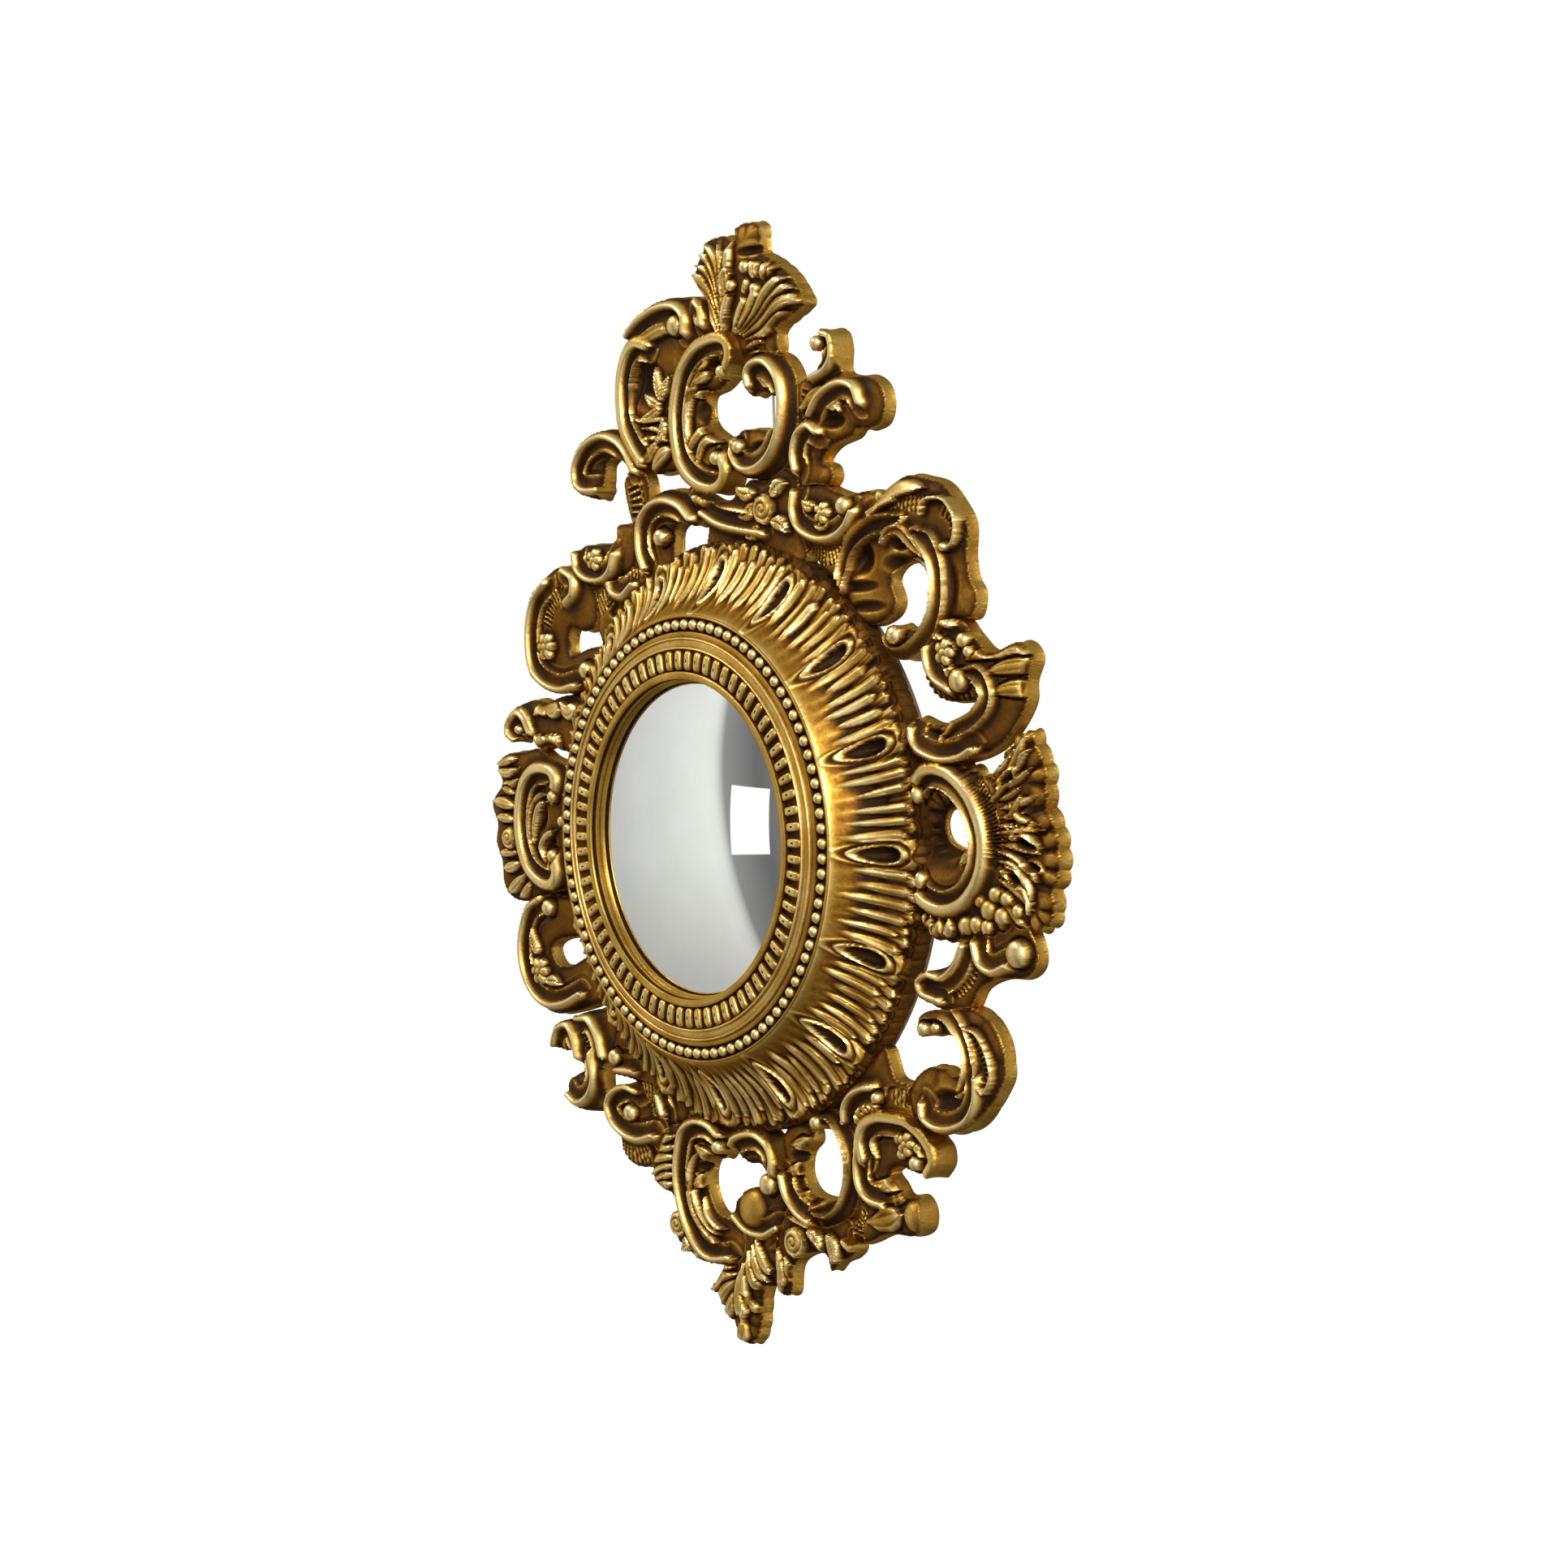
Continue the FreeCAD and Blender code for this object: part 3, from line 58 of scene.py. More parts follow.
# Castings, in the order in which one takes the space that two share. Lines are (u, v) points.
#   edge     the closed outline, and holes are closed outlines that go right through
#   scallop  (height, pitch) of the lobes round the outline
#   bowls    (u, v, reach across, reach up, depth) of smooth hollows
#   combs    (line, half width, pitch) of rows of narrow loops
#   fans     (u, v, first angle, last angle, count, near, far, half width, top, bend) of strokes
#   strokes  (line, half width, top) of long tapered leaves
#   bands    (line, width, floor) of hollow ribbons
#   rims     raised scroll edges, wide is the same with a broad top and thin is a bare raised line
#   leaves   (u and v of the stalk, u and v of the tip, half width)
#   flowers  (u, v, radius, petals), roses (u, v, radius), balls (u, v, radius, top)
#   eyes     (u, v, radius) of scroll ends, pits (u, v, half length, half width, turn)
CASTINGS = {
    "crest_c_left": {
        "edge": [(10, 262), (15, 268), (15, 276), (8, 283), (-6, 284), (-22, 280), (-36, 268),
            (-43, 251), (-45, 235), (-42, 217), (-33, 204), (-20, 197), (-6, 194), (4, 197), (9, 205),
            (9, 215), (4, 222), (-4, 226), (-14, 232), (-18, 240), (-16, 250), (-4, 253), (4, 257)],
        "bowls": [(-3, 265, 10, 5, 7), (-12, 241, 14, 8, 6.5), (-6, 212, 9, 8, 7)],
        "strokes": [([(-11, 269), (-21, 260), (-28, 250), (-32, 238), (-31, 226),
            (-28, 214)], 3.4, 17), ([(-26, 256), (-17, 260), (-7, 262)], 2.6, 15.5), ([(-33, 246),
            (-23, 251), (-9, 249), (3, 246)], 2.3, 14.5), ([(-31, 214), (-28, 222), (-19, 229),
            (-5, 232), (5, 231)], 2.5, 16), ([(-23, 208), (-21, 217), (-15, 224), (-3, 225),
            (7, 222)], 2.3, 15.5)],
        "wide": [[(7, 263), (12, 268), (12, 275), (7, 280), (-5, 281), (-20, 277), (-33, 266),
            (-40, 250), (-42, 235), (-39, 218), (-31, 207), (-20, 200), (-7, 197), (2, 200), (5, 207),
            (2, 213)]],
        "eyes": [(4, 262, 4), (-4, 214, 4)],
    },
    "crest_c_right": {
        "edge": [(22, 268), (38, 270), (55, 266), (64, 256), (66, 246), (66, 235), (64, 225),
            (60, 215), (54, 206), (44, 201), (30, 200), (17, 202), (9, 207), (9, 215), (10, 222),
            (16, 228), (30, 228), (44, 226), (52, 231), (53, 240), (53, 248), (46, 245), (36, 248),
            (28, 246), (20, 250), (16, 256), (16, 262)],
        "bowls": [(34, 217, 11, 5, 5)],
        "strokes": [([(34, 256), (41, 256), (48, 250)], 4, 15.5)],
        "rims": [[(29, 252), (28, 259), (33, 264), (44, 264), (54, 256), (58, 245), (57, 232),
            (52, 220), (44, 211), (32, 206), (20, 207), (13, 214), (13, 221)]],
        "eyes": [(17, 219, 4)],
    },
    "right_ear_scroll": {
        "edge": [(103, 136), (104, 150), (112, 164), (122, 174), (138, 186), (156, 194), (172, 192),
            (186, 188), (197, 178), (205, 166), (204, 150), (206, 138), (211, 130), (207, 118),
            (190, 116), (178, 104), (162, 97), (146, 98), (140, 106), (146, 114), (164, 113),
            (176, 122), (178, 136), (168, 147), (152, 148), (142, 140), (146, 128), (140, 120),
            (124, 116), (112, 122)],
        "bowls": [(120, 152, 13, 11, 6), (154, 158, 9, 4, 4), (195, 134, 6, 15, 1.6),
            (150, 148, 13, 6, 4), (119, 137, 17, 4, 3.2), (124, 126, 18, 4, 3.0)],
        "combs": [([(146, 179), (156, 181), (172, 178)], 4.6, 3.4), ([(189, 176), (197, 170),
            (200, 160)], 4, 3.8)],
        "strokes": [([(131, 174), (142, 182), (154, 187), (168, 188), (178, 186)], 3.2, 17.6),
            ([(165, 150), (172, 147), (178, 142)], 2, 15)],
        "bands": [([(144, 112), (142, 108), (147, 103), (156, 103), (165, 107), (174, 114), (180, 123),
            (182, 134), (181, 145), (176, 154), (168, 162)], -9.5, 13.8), ([(104, 138), (104, 148),
            (108, 158), (116, 166), (128, 172), (142, 174), (156, 173)], -9, 12.5), ([(141, 161),
            (147, 167), (157, 167), (167, 160), (175, 152)], -4, 15.5)],
        "thin": [[(131, 176), (140, 179), (152, 182)], [(174, 173), (176, 179), (184, 181), (194, 179),
            (201, 171), (202, 163), (199, 156), (192, 154)]],
        "balls": [(140, 184, 3, 17)],
        "eyes": [(149, 110, 5), (192, 155, 2.6)],
    },
    "right_ear_lower": {
        "edge": [(176, 106), (183, 118), (198, 117), (208, 108), (222, 99), (244, 104), (254, 96),
            (249, 84), (248, 73), (238, 60), (224, 50), (206, 44), (186, 42), (168, 46), (158, 56),
            (160, 66), (176, 62), (196, 64), (212, 70), (206, 74), (188, 74), (176, 78), (168, 88),
            (172, 96)],
        "bowls": [(176, 56, 9, 5, 5)],
        "combs": [([(171, 92), (176, 82), (190, 77), (204, 76)], 4, 4.2)],
        "strokes": [([(206, 96), (224, 100), (242, 102), (262, 100)], 4.6, 15.0), ([(218, 88),
            (234, 91), (250, 92), (262, 92)], 3.6, 14.4), ([(222, 78), (238, 80), (252, 80),
            (262, 79)], 3.8, 14.4), ([(184, 60), (198, 62), (208, 66)], 4, 14), ([(186, 110),
            (193, 105), (200, 101)], 1.8, 16.5), ([(184, 102), (190, 96), (196, 92)], 1.8, 16.5)],
        "bands": [([(206, 91), (215, 92), (223, 87), (227, 78), (224, 69), (215, 62), (203, 57),
            (190, 54)], -8, 13.8)],
        "rims": [[(195, 114), (187, 116), (180, 112), (176, 103), (177, 93), (183, 86), (193, 81)],
            [(162, 60), (163, 54), (170, 48), (185, 44), (200, 45), (210, 49)]],
        "leaves": [(190, 94, 194, 84, 3), (188, 106, 183, 112, 2.6)],
        "flowers": [(190, 100, 7, 5)],
        "balls": [(204, 106, 4, 17.5), (208, 100, 3, 17)],
        "eyes": [(200, 85, 6)],
    },
    "right_cartouche": {
        "edge": [(150, 10), (156, 30), (166, 40), (184, 43), (202, 40), (216, 34), (228, 42),
            (238, 54), (250, 58), (256, 47), (261, 38), (261, 20), (267, 9), (270, -4), (269, -16),
            (264, -24), (264, -36), (254, -44), (236, -42), (222, -47), (208, -46), (196, -50),
            (180, -52), (168, -48), (160, -34), (150, -10)],
        "holes": [[(176, 10), (182, 18), (196, 14), (202, 4), (194, -4), (180, 0)]],
        "scallop": (2.6, 11.5),
        "bowls": [(180, 4, 24, 24, 8.5)],
        "combs": [([(206, 32), (215, 26), (222, 14), (225, 2), (224, -8)], 4.5, 2.1)],
        "fans": [(150, 5, -30, 36, 21, 78, 110, 1.9, 14.6, 6)],
        "strokes": [([(205, 22), (202, 14), (195, 8)], 2.6, 14), ([(209, 16), (206, 8),
            (197, 3)], 3, 14.5), ([(212, -4), (204, -6), (196, -11)], 2.6, 14.5), ([(212, -8),
            (206, -13), (198, -17)], 2.4, 14), ([(222, 22), (232, 30), (244, 42), (254, 50)], 2.6, 16),
            ([(226, 26), (238, 38), (250, 56)], 2.2, 15.2), ([(226, 10), (240, 9), (254, 4),
            (262, -2)], 1.5, 16.5), ([(226, 6), (238, 7), (250, 8), (262, 8)], 1.3, 16), ([(226, -3),
            (240, -6), (254, -14), (258, -20)], 1.5, 16.5), ([(226, -8), (240, -10), (250, -18),
            (254, -30)], 1.5, 16.5), ([(228, -12), (242, -18), (250, -28), (250, -38)], 1.4, 16.2),
            ([(236, 22), (244, 14), (254, 12)], 1.8, 15.5), ([(234, 14), (240, 18),
            (246, 26)], 1.6, 15), ([(174, -39), (170, -47), (166, -54)], 3.2, 16.5), ([(181, -40),
            (178, -47), (175, -52)], 3, 16.5), ([(188, -40), (187, -46), (185, -50)], 2.8, 16.3),
            ([(168, -38), (164, -42), (160, -45)], 2.4, 15.5)],
        "wide": [[(162, 30), (172, 38), (185, 38), (197, 33), (208, 23), (215, 10), (217, -2),
            (214, -15), (207, -25), (197, -32), (183, -35), (170, -32), (163, -27)]],
        "balls": [(201, -43, 5.2, 18), (209, -42, 4.6, 17.6), (219, -34, 5.4, 18),
            (229, -37, 4.8, 17.6), (217, -43, 4, 17), (224, -26, 4.4, 17), (233, -28, 4, 17),
            (241, -34, 3.6, 16.6), (212, -30, 3.4, 16.6)],
        "eyes": [(163, 25, 5), (164, -20, 5)],
        "pits": [(248, 1, 7.5, 2.7, -15), (254, -11, 4.6, 1.9, -15), (240, -17, 7, 3.2, -20),
            (236, 34, 6.5, 2.4, 28)],
    },
    "right_lower_scroll": {
        "edge": [(160, -98), (163, -92), (172, -89), (184, -88), (198, -87), (210, -90), (218, -98),
            (223, -108), (224, -120), (218, -130), (210, -140), (198, -149), (184, -154), (168, -154),
            (154, -150), (148, -142), (146, -134), (150, -128), (164, -120), (176, -120), (186, -124),
            (191, -114), (189, -104), (178, -102), (164, -103)],
        "scallop": (1.0, 28.0),
        "bowls": [(180, -137, 14, 8, 5)],
        "combs": [([(202, -99), (210, -108), (214, -118), (213, -126)], 3.6, 3.0)],
        "bands": [([(161, -100), (163, -94), (172, -92), (182, -93), (190, -99), (196, -110),
            (197, -121), (192, -130)], 8, 14)],
        "rims": [[(207, -124), (206, -135), (199, -145), (187, -150), (174, -151), (164, -147),
            (162, -140)]],
        "thin": [[(199, -97), (208, -99), (216, -109), (219, -121), (213, -130), (209, -128)]],
        "balls": [(174, -98, 3, 17)],
        "eyes": [(165, -99, 4)],
    },
    "bottom_right_scroll": {
        "edge": [(108, -154), (120, -148), (138, -147), (156, -153), (168, -158), (174, -164),
            (173, -173), (162, -178), (148, -178), (136, -176), (128, -180), (134, -186), (140, -192),
            (152, -191), (158, -198), (156, -208), (144, -213), (124, -214), (108, -220), (98, -222),
            (92, -216), (100, -206), (102, -192), (101, -176), (104, -162)],
        "combs": [([(106, -201), (102, -209), (101, -217)], 4.8, 2.7)],
        "strokes": [([(122, -172), (117, -163), (121, -156), (132, -153)], 4, 16.2), ([(112, -187),
            (126, -187), (144, -183)], 3.4, 14.5), ([(110, -195), (128, -196),
            (146, -190)], 3.2, 12.5), ([(112, -208), (126, -206), (142, -201)], 5.5, 15.6)],
        "rims": [[(107, -170), (106, -180), (108, -189), (115, -195), (126, -197)]],
        "wide": [[(111, -173), (109, -164), (113, -155), (123, -150), (136, -149), (149, -150),
            (160, -155), (168, -162), (171, -170), (166, -176)]],
        "flowers": [(148, -162, 6.5, 5)],
        "balls": [(152, -201, 9, 18), (141, -160, 3, 17), (143, -168, 3, 17), (157, -164, 3, 17)],
        "eyes": [(155, -172, 4)],
    },
    "bottom_right_c": {
        "edge": [(66, -152), (78, -149), (92, -155), (100, -170), (101, -190), (96, -204), (84, -212),
            (68, -216), (52, -214), (38, -208), (34, -196), (36, -180), (34, -168), (44, -160),
            (58, -160), (62, -168), (54, -176), (52, -188), (60, -198), (76, -200), (88, -196),
            (93, -184), (92, -168), (84, -160), (74, -158)],
        "bowls": [(52, -178, 10, 5, 4)],
        "strokes": [([(38, -188), (50, -185), (64, -182)], 3.2, 14), ([(44, -172), (56, -170),
            (62, -166)], 3.4, 14), ([(40, -198), (54, -201), (66, -199)], 3.2, 13.5)],
        "bands": [([(70, -160), (72, -155), (80, -154), (88, -160), (94, -170), (96, -181), (93, -193),
            (86, -203), (75, -209), (64, -208)], -7, 14)],
        "rims": [[(60, -213), (50, -208), (42, -200), (38, -190)]],
        "eyes": [(70, -157, 4)],
    },
    "bottom_c_right": {
        "edge": [(-10, -177), (-6, -170), (6, -165), (20, -166), (30, -174), (34, -186), (36, -200),
            (34, -216), (26, -226), (10, -228), (-4, -224), (-12, -216), (-8, -207), (6, -200),
            (14, -198), (18, -192), (12, -186), (0, -186)],
        "rims": [[(-8, -176), (-4, -172), (6, -169), (16, -169), (26, -174), (30, -182), (28, -190)],
            [(-7, -217), (5, -224), (20, -225), (32, -220)]],
        "balls": [(8, -213, 15, 18.3)],
        "eyes": [(24, -196, 6)],
    },
    "bottom_c_left": {
        "edge": [(-16, -178), (-20, -169), (-34, -163), (-48, -164), (-58, -171), (-63, -186),
            (-64, -202), (-60, -220), (-50, -236), (-38, -245), (-22, -247), (-6, -242), (-2, -230),
            (-14, -222), (-30, -218), (-38, -206), (-38, -194), (-32, -186), (-22, -186)],
        "bowls": [(-36, -192, 10, 3.6, 5), (-33, -176, 9, 3.6, 5)],
        "strokes": [([(-39, -181), (-47, -190), (-50, -204), (-45, -219), (-35, -229), (-23, -235),
            (-14, -236)], 1.7, 17.4), ([(-44, -196), (-46, -208), (-41, -219), (-31, -227),
            (-20, -230)], 1.5, 16.6), ([(-39, -210), (-35, -219), (-27, -225), (-17, -226)], 1.5, 16),
            ([(-52, -205), (-38, -200), (-20, -199)], 4, 15), ([(-46, -180), (-38, -184),
            (-28, -187)], 3.2, 15)],
        "rims": [[(-21, -172), (-30, -167), (-43, -166), (-55, -172), (-60, -185), (-62, -200),
            (-58, -218), (-50, -232), (-40, -241), (-29, -244), (-14, -242)]],
        "eyes": [(-22, -179, 4)],
    },
    "left_cartouche": {
        "edge": [(-170, 40), (-186, 44), (-200, 50), (-216, 48), (-232, 47), (-246, 40), (-242, 28),
            (-254, 16), (-249, 4), (-251, -8), (-245, -20), (-243, -34), (-232, -43), (-214, -44),
            (-196, -40), (-176, -36), (-160, -30), (-150, 0), (-160, 34)],
        "bowls": [(-196, 10, 8, 12, 4), (-186, -10, 7, 9, 5)],
        "strokes": [([(-204, -12), (-204, 4), (-200, 15), (-192, 22), (-183, 22)], 1.5, 17),
            ([(-202, -8), (-200, 5), (-195, 15), (-186, 18)], 2.2, 16), ([(-190, -19), (-193, -10),
            (-187, -3), (-177, 1)], 1.8, 16.6), ([(-221, 44), (-231, 43), (-242, 41)], 3, 15.5),
            ([(-217, 38), (-229, 35), (-239, 37)], 2.6, 16), ([(-216, 32), (-226, 28),
            (-235, 29)], 2.4, 15), ([(-219, 14), (-231, 16), (-246, 18)], 3, 16), ([(-220, 6),
            (-231, 7), (-243, 8)], 2.6, 15.6), ([(-221, 22), (-228, 24), (-236, 26)], 2.2, 15),
            ([(-219, -14), (-229, -14), (-241, -15)], 2.4, 15.6), ([(-217, -20), (-227, -23),
            (-236, -24)], 3, 16), ([(-213, -27), (-223, -34), (-232, -39)], 3.2, 16), ([(-208, -31),
            (-214, -38), (-220, -42)], 2.6, 15)],
        "wide": [[(-178, 24), (-175, 30), (-179, 36), (-190, 38), (-201, 36), (-210, 28), (-215, 15),
            (-216, 0), (-213, -13), (-206, -24), (-194, -31), (-183, -32), (-177, -26), (-179, -17)]],
        "roses": [(-228, -5, 7)],
        "balls": [(-173, 6, 3.4, 16)],
        "eyes": [(-179, 21, 4), (-181, -15, 4)],
    },
    "left_lower_scroll": {
        "edge": [(-206, -44), (-192, -39), (-176, -40), (-158, -42), (-150, -52), (-148, -62),
            (-164, -64), (-182, -66), (-192, -72), (-186, -82), (-172, -82), (-156, -76), (-146, -72),
            (-140, -88), (-140, -100), (-150, -105), (-172, -110), (-190, -112), (-204, -106),
            (-215, -94), (-220, -80), (-220, -66), (-215, -54)],
        "rims": [[(-196, -42), (-208, -48), (-216, -62), (-218, -76), (-214, -90), (-204, -101),
            (-190, -106), (-172, -104), (-156, -98)]],
        "leaves": [(-200, -76, -206, -60, 4), (-192, -92, -176, -94, 3.5)],
        "flowers": [(-199, -86, 8, 6)],
        "eyes": [(-188, -47, 5)],
    },
    "left_foot_scroll": {
        "edge": [(-188, -131), (-184, -121), (-174, -115), (-160, -112), (-146, -107), (-132, -108),
            (-124, -118), (-128, -132), (-138, -140), (-140, -152), (-136, -166), (-150, -169),
            (-168, -168), (-178, -161), (-176, -152), (-164, -146), (-154, -144), (-162, -140),
            (-166, -132), (-178, -134)],
        "combs": [([(-154, -118), (-150, -128), (-148, -136)], 5, 2.8)],
        "rims": [[(-186, -130), (-180, -120), (-170, -118), (-163, -126), (-161, -136)], [(-160, -113),
            (-148, -113), (-139, -122), (-135, -134)], [(-147, -134), (-144, -148), (-150, -159),
            (-162, -164), (-172, -160)]],
    },
    "left_ear_scroll": {
        "edge": [(-201, 130), (-203, 134), (-192, 141), (-186, 150), (-178, 158), (-164, 160),
            (-150, 157), (-138, 148), (-132, 136), (-134, 124), (-146, 120), (-160, 122), (-164, 112),
            (-160, 106), (-142, 110), (-126, 110), (-118, 102), (-130, 92), (-146, 86), (-164, 83),
            (-180, 86), (-192, 93), (-198, 102), (-200, 115)],
        "combs": [([(-184, 124), (-178, 136), (-168, 144)], 5, 3)],
        "rims": [[(-160, 157), (-150, 152), (-150, 143), (-158, 138)], [(-180, 150), (-192, 140),
            (-198, 126), (-199, 110), (-195, 98), (-184, 90), (-168, 86), (-152, 88)]],
        "flowers": [(-181, 112, 8, 6)],
        "eyes": [(-140, 97, 5)],
    },
    "bottom_left_bowl": {
        "edge": [(-131, -164), (-122, -154), (-106, -150), (-94, -156), (-90, -166), (-80, -168),
            (-76, -176), (-80, -184), (-88, -192), (-98, -198), (-112, -198), (-122, -192),
            (-126, -182)],
        "combs": [([(-122, -186), (-108, -190), (-92, -188)], 6, 3.6)],
        "rims": [[(-100, -153), (-112, -151), (-124, -155), (-130, -163), (-126, -172), (-114, -179),
            (-100, -181), (-86, -178)]],
        "eyes": [(-108, -166, 5)],
    },
    "upper_left_bowl": {
        "edge": [(-149, 165), (-146, 157), (-136, 150), (-120, 147), (-106, 150), (-94, 156),
            (-90, 168), (-92, 180), (-104, 182), (-110, 180), (-112, 172), (-126, 171), (-142, 171)],
        "rims": [[(-147, 166), (-144, 157), (-134, 151), (-120, 150), (-110, 155), (-106, 164)]],
        "flowers": [(-127, 162, 6.5, 5)],
    },
    "upper_left_scroll": {
        "edge": [(-146, 214), (-143, 224), (-134, 231), (-122, 236), (-108, 238), (-94, 233),
            (-86, 222), (-80, 212), (-76, 200), (-78, 186), (-90, 180), (-96, 186), (-101, 206),
            (-92, 212), (-96, 218), (-106, 222), (-118, 218), (-120, 208), (-124, 198), (-134, 200),
            (-143, 207)],
        "combs": [([(-88, 204), (-86, 194), (-86, 184)], 6, 4)],
        "rims": [[(-122, 203), (-136, 204), (-143, 210), (-142, 220), (-132, 230), (-116, 234),
            (-100, 230), (-90, 222), (-84, 212)]],
    },
    "inner_left_c": {
        "edge": [(-80, 152), (-83, 165), (-82, 181), (-75, 192), (-61, 199), (-44, 198), (-30, 192),
            (-24, 182), (-30, 177), (-42, 180), (-51, 176), (-53, 166), (-52, 156), (-52, 148),
            (-66, 142)],
        "rims": [[(-76, 155), (-80, 166), (-79, 180), (-70, 190), (-56, 193), (-40, 189), (-30, 181)]],
        "eyes": [(-60, 172, 5)],
    },
    "right_shoulder_bowl": {
        "edge": [(65, 192), (64, 178), (68, 166), (76, 158), (82, 150), (92, 143), (104, 146),
            (110, 160), (122, 173), (136, 184), (126, 188), (108, 187), (96, 190), (84, 194)],
        "combs": [([(80, 158), (91, 154), (104, 157)], 4.5, 3)],
        "rims": [[(67, 190), (66, 180), (70, 172), (78, 167), (90, 164), (102, 165), (112, 170),
            (117, 177)]],
        "leaves": [(84, 182, 74, 186, 3.5), (96, 172, 84, 172, 3)],
        "flowers": [(91, 178, 6, 5)],
        "eyes": [(109, 181, 5)],
    },
    "crest_left_scroll": {
        "edge": [(-98, 238), (-100, 262), (-103, 268), (-97, 273), (-92, 285), (-84, 292), (-82, 302),
            (-66, 303), (-50, 308), (-30, 307), (-14, 304), (-9, 290), (-14, 283), (-30, 278),
            (-41, 262), (-45, 240), (-44, 222), (-40, 212), (-56, 209), (-72, 210), (-84, 220),
            (-94, 230)],
        "bowls": [(-72, 262, 17, 17, 7.5), (-54, 238, 5, 3.2, 5)],
        "strokes": [([(-86, 281), (-72, 291), (-52, 297), (-34, 290)], 8, 16.8), ([(-87, 247),
            (-79, 241), (-65, 240), (-49, 240)], 1.3, 16), ([(-77, 236), (-64, 235),
            (-49, 231)], 1.3, 16), ([(-77, 231), (-61, 229), (-49, 227)], 1.4, 15.5), ([(-87, 227),
            (-78, 225), (-69, 231)], 3, 15.5), ([(-81, 217), (-69, 220), (-61, 228)], 3.2, 15.5),
            ([(-67, 210), (-57, 219), (-46, 222)], 3.4, 16), ([(-60, 201), (-54, 205),
            (-50, 210)], 1.6, 15), ([(-52, 200), (-46, 204), (-42, 209)], 1.6, 15)],
        "rims": [[(-86, 290), (-76, 297), (-58, 303), (-40, 303), (-30, 296), (-30, 287)], [(-18, 303),
            (-13, 298), (-13, 290)]],
        "wide": [[(-68, 283), (-78, 285), (-87, 279), (-93, 266), (-94, 250), (-92, 238), (-84, 226),
            (-76, 217)]],
        "leaves": [(-54, 250, -58, 270, 3.5), (-52, 252, -44, 264, 3), (-56, 248, -70, 256, 3.5),
            (-56, 246, -74, 242, 3.5), (-52, 240, -60, 226, 3.5)],
        "balls": [(-16, 292, 3, 18)],
        "eyes": [(-40, 292, 6)],
    },
    "crest_right_scroll": {
        "edge": [(64, 205), (64, 218), (68, 228), (66, 240), (68, 250), (80, 254), (90, 258),
            (94, 264), (86, 267), (83.5, 271), (88, 276), (92, 277), (101, 276), (106.5, 267),
            (106, 254), (114, 250), (128, 249), (138, 243), (141, 233), (137, 224), (126, 221),
            (118, 222), (112, 218), (98, 215), (90, 211), (86, 206), (93, 203), (95, 197), (88, 192),
            (72, 192), (65, 198)],
        "bowls": [(100, 227, 11, 5, 4)],
        "combs": [([(78, 246), (76, 236), (80, 226)], 4, 3.6)],
        "strokes": [([(73, 236), (86, 241), (99, 239), (109, 231)], 5, 15.6)],
        "rims": [[(83, 232), (93, 242), (108, 247), (121, 244), (126, 235)], [(88, 222), (81, 226),
            (72, 222), (68, 212), (69, 203)], [(96, 275), (103, 272), (104, 262), (98, 255),
            (86, 252)]],
        "eyes": [(90, 270, 4)],
    },
    "left_shoulder_curl": {
        "edge": [(-226, 64), (-223, 72), (-213, 78), (-200, 80), (-188, 78), (-176, 81), (-164, 82),
            (-150, 78), (-140, 68), (-150, 45), (-170, 48), (-184, 52), (-196, 50), (-205, 55),
            (-218, 57)],
        "strokes": [([(-198, 61), (-204, 70), (-212, 76)], 1.3, 17), ([(-196, 71), (-188, 75),
            (-180, 71)], 4, 17), ([(-184, 78), (-176, 73), (-168, 77)], 4, 17), ([(-168, 78),
            (-160, 72), (-150, 76)], 4, 16.5)] + [([(u, 46), (u + 1, 53), (u + 2, 59)], 1.4, 15.5)
            for u in range(-198, -173, 4)],
        "rims": [[(-201, 60), (-206, 68), (-214, 72), (-222, 68), (-225, 61), (-219, 56)]],
        "eyes": [(-213, 62, 3)],
    },
    "crest_plume": {
        "edge": [(-9, 284), (-10, 300), (-25, 318), (-17, 331), (-11, 337), (3, 338), (12, 334),
            (14, 341), (25, 343), (36, 340), (37, 326), (48, 320), (62, 311), (72, 300), (75, 293),
            (62, 287), (50, 281), (48, 268), (32, 266), (16, 272), (2, 276)],
        "scallop": (0.5, 9.0),
        "bowls": [(29, 327, 13, 3.4, 4), (9, 292, 3.4, 9, 5), (40, 313, 4, 3, 2)],
        "strokes": [([(1, 283), (-2, 292), (-7, 300), (-18, 309)], 3.0, 17), ([(2, 285), (-1, 297),
            (-9, 307), (-23, 314)], 2.4, 16.5), ([(4, 288), (1, 302), (-9, 313),
            (-25, 319)], 3.0, 17.2), ([(4, 290), (1, 307), (-7, 319), (-19, 324)], 2.4, 16.5),
            ([(6, 293), (3, 312), (-5, 325), (-16, 330)], 2.8, 17), ([(5, 296), (4, 316), (-3, 329),
            (-11, 336)], 2.4, 16.3), ([(6, 300), (7, 318), (4, 333)], 2.4, 16.8), ([(7, 300),
            (11, 320), (14, 334)], 2.4, 16.8), ([(6, 284), (9, 296), (13, 303), (17, 304)], 1.9, 17.6),
            ([(7, 303), (7, 312), (11, 318), (16, 315)], 1.5, 17.6), ([(17, 283), (23, 291), (27, 298),
            (26, 302)], 2.8, 17.6), ([(19, 282), (30, 291), (36, 300), (38, 308)], 3.0, 17.6),
            ([(21, 282), (35, 290), (45, 301), (55, 307), (66, 309)], 2.4, 17), ([(22, 281), (38, 287),
            (50, 296), (62, 303), (71, 301)], 2.4, 16.6), ([(24, 280), (42, 286), (57, 295), (72, 296),
            (86, 293)], 2.6, 16.2), ([(25, 278), (41, 280), (57, 288), (69, 288)], 2.2, 15.5),
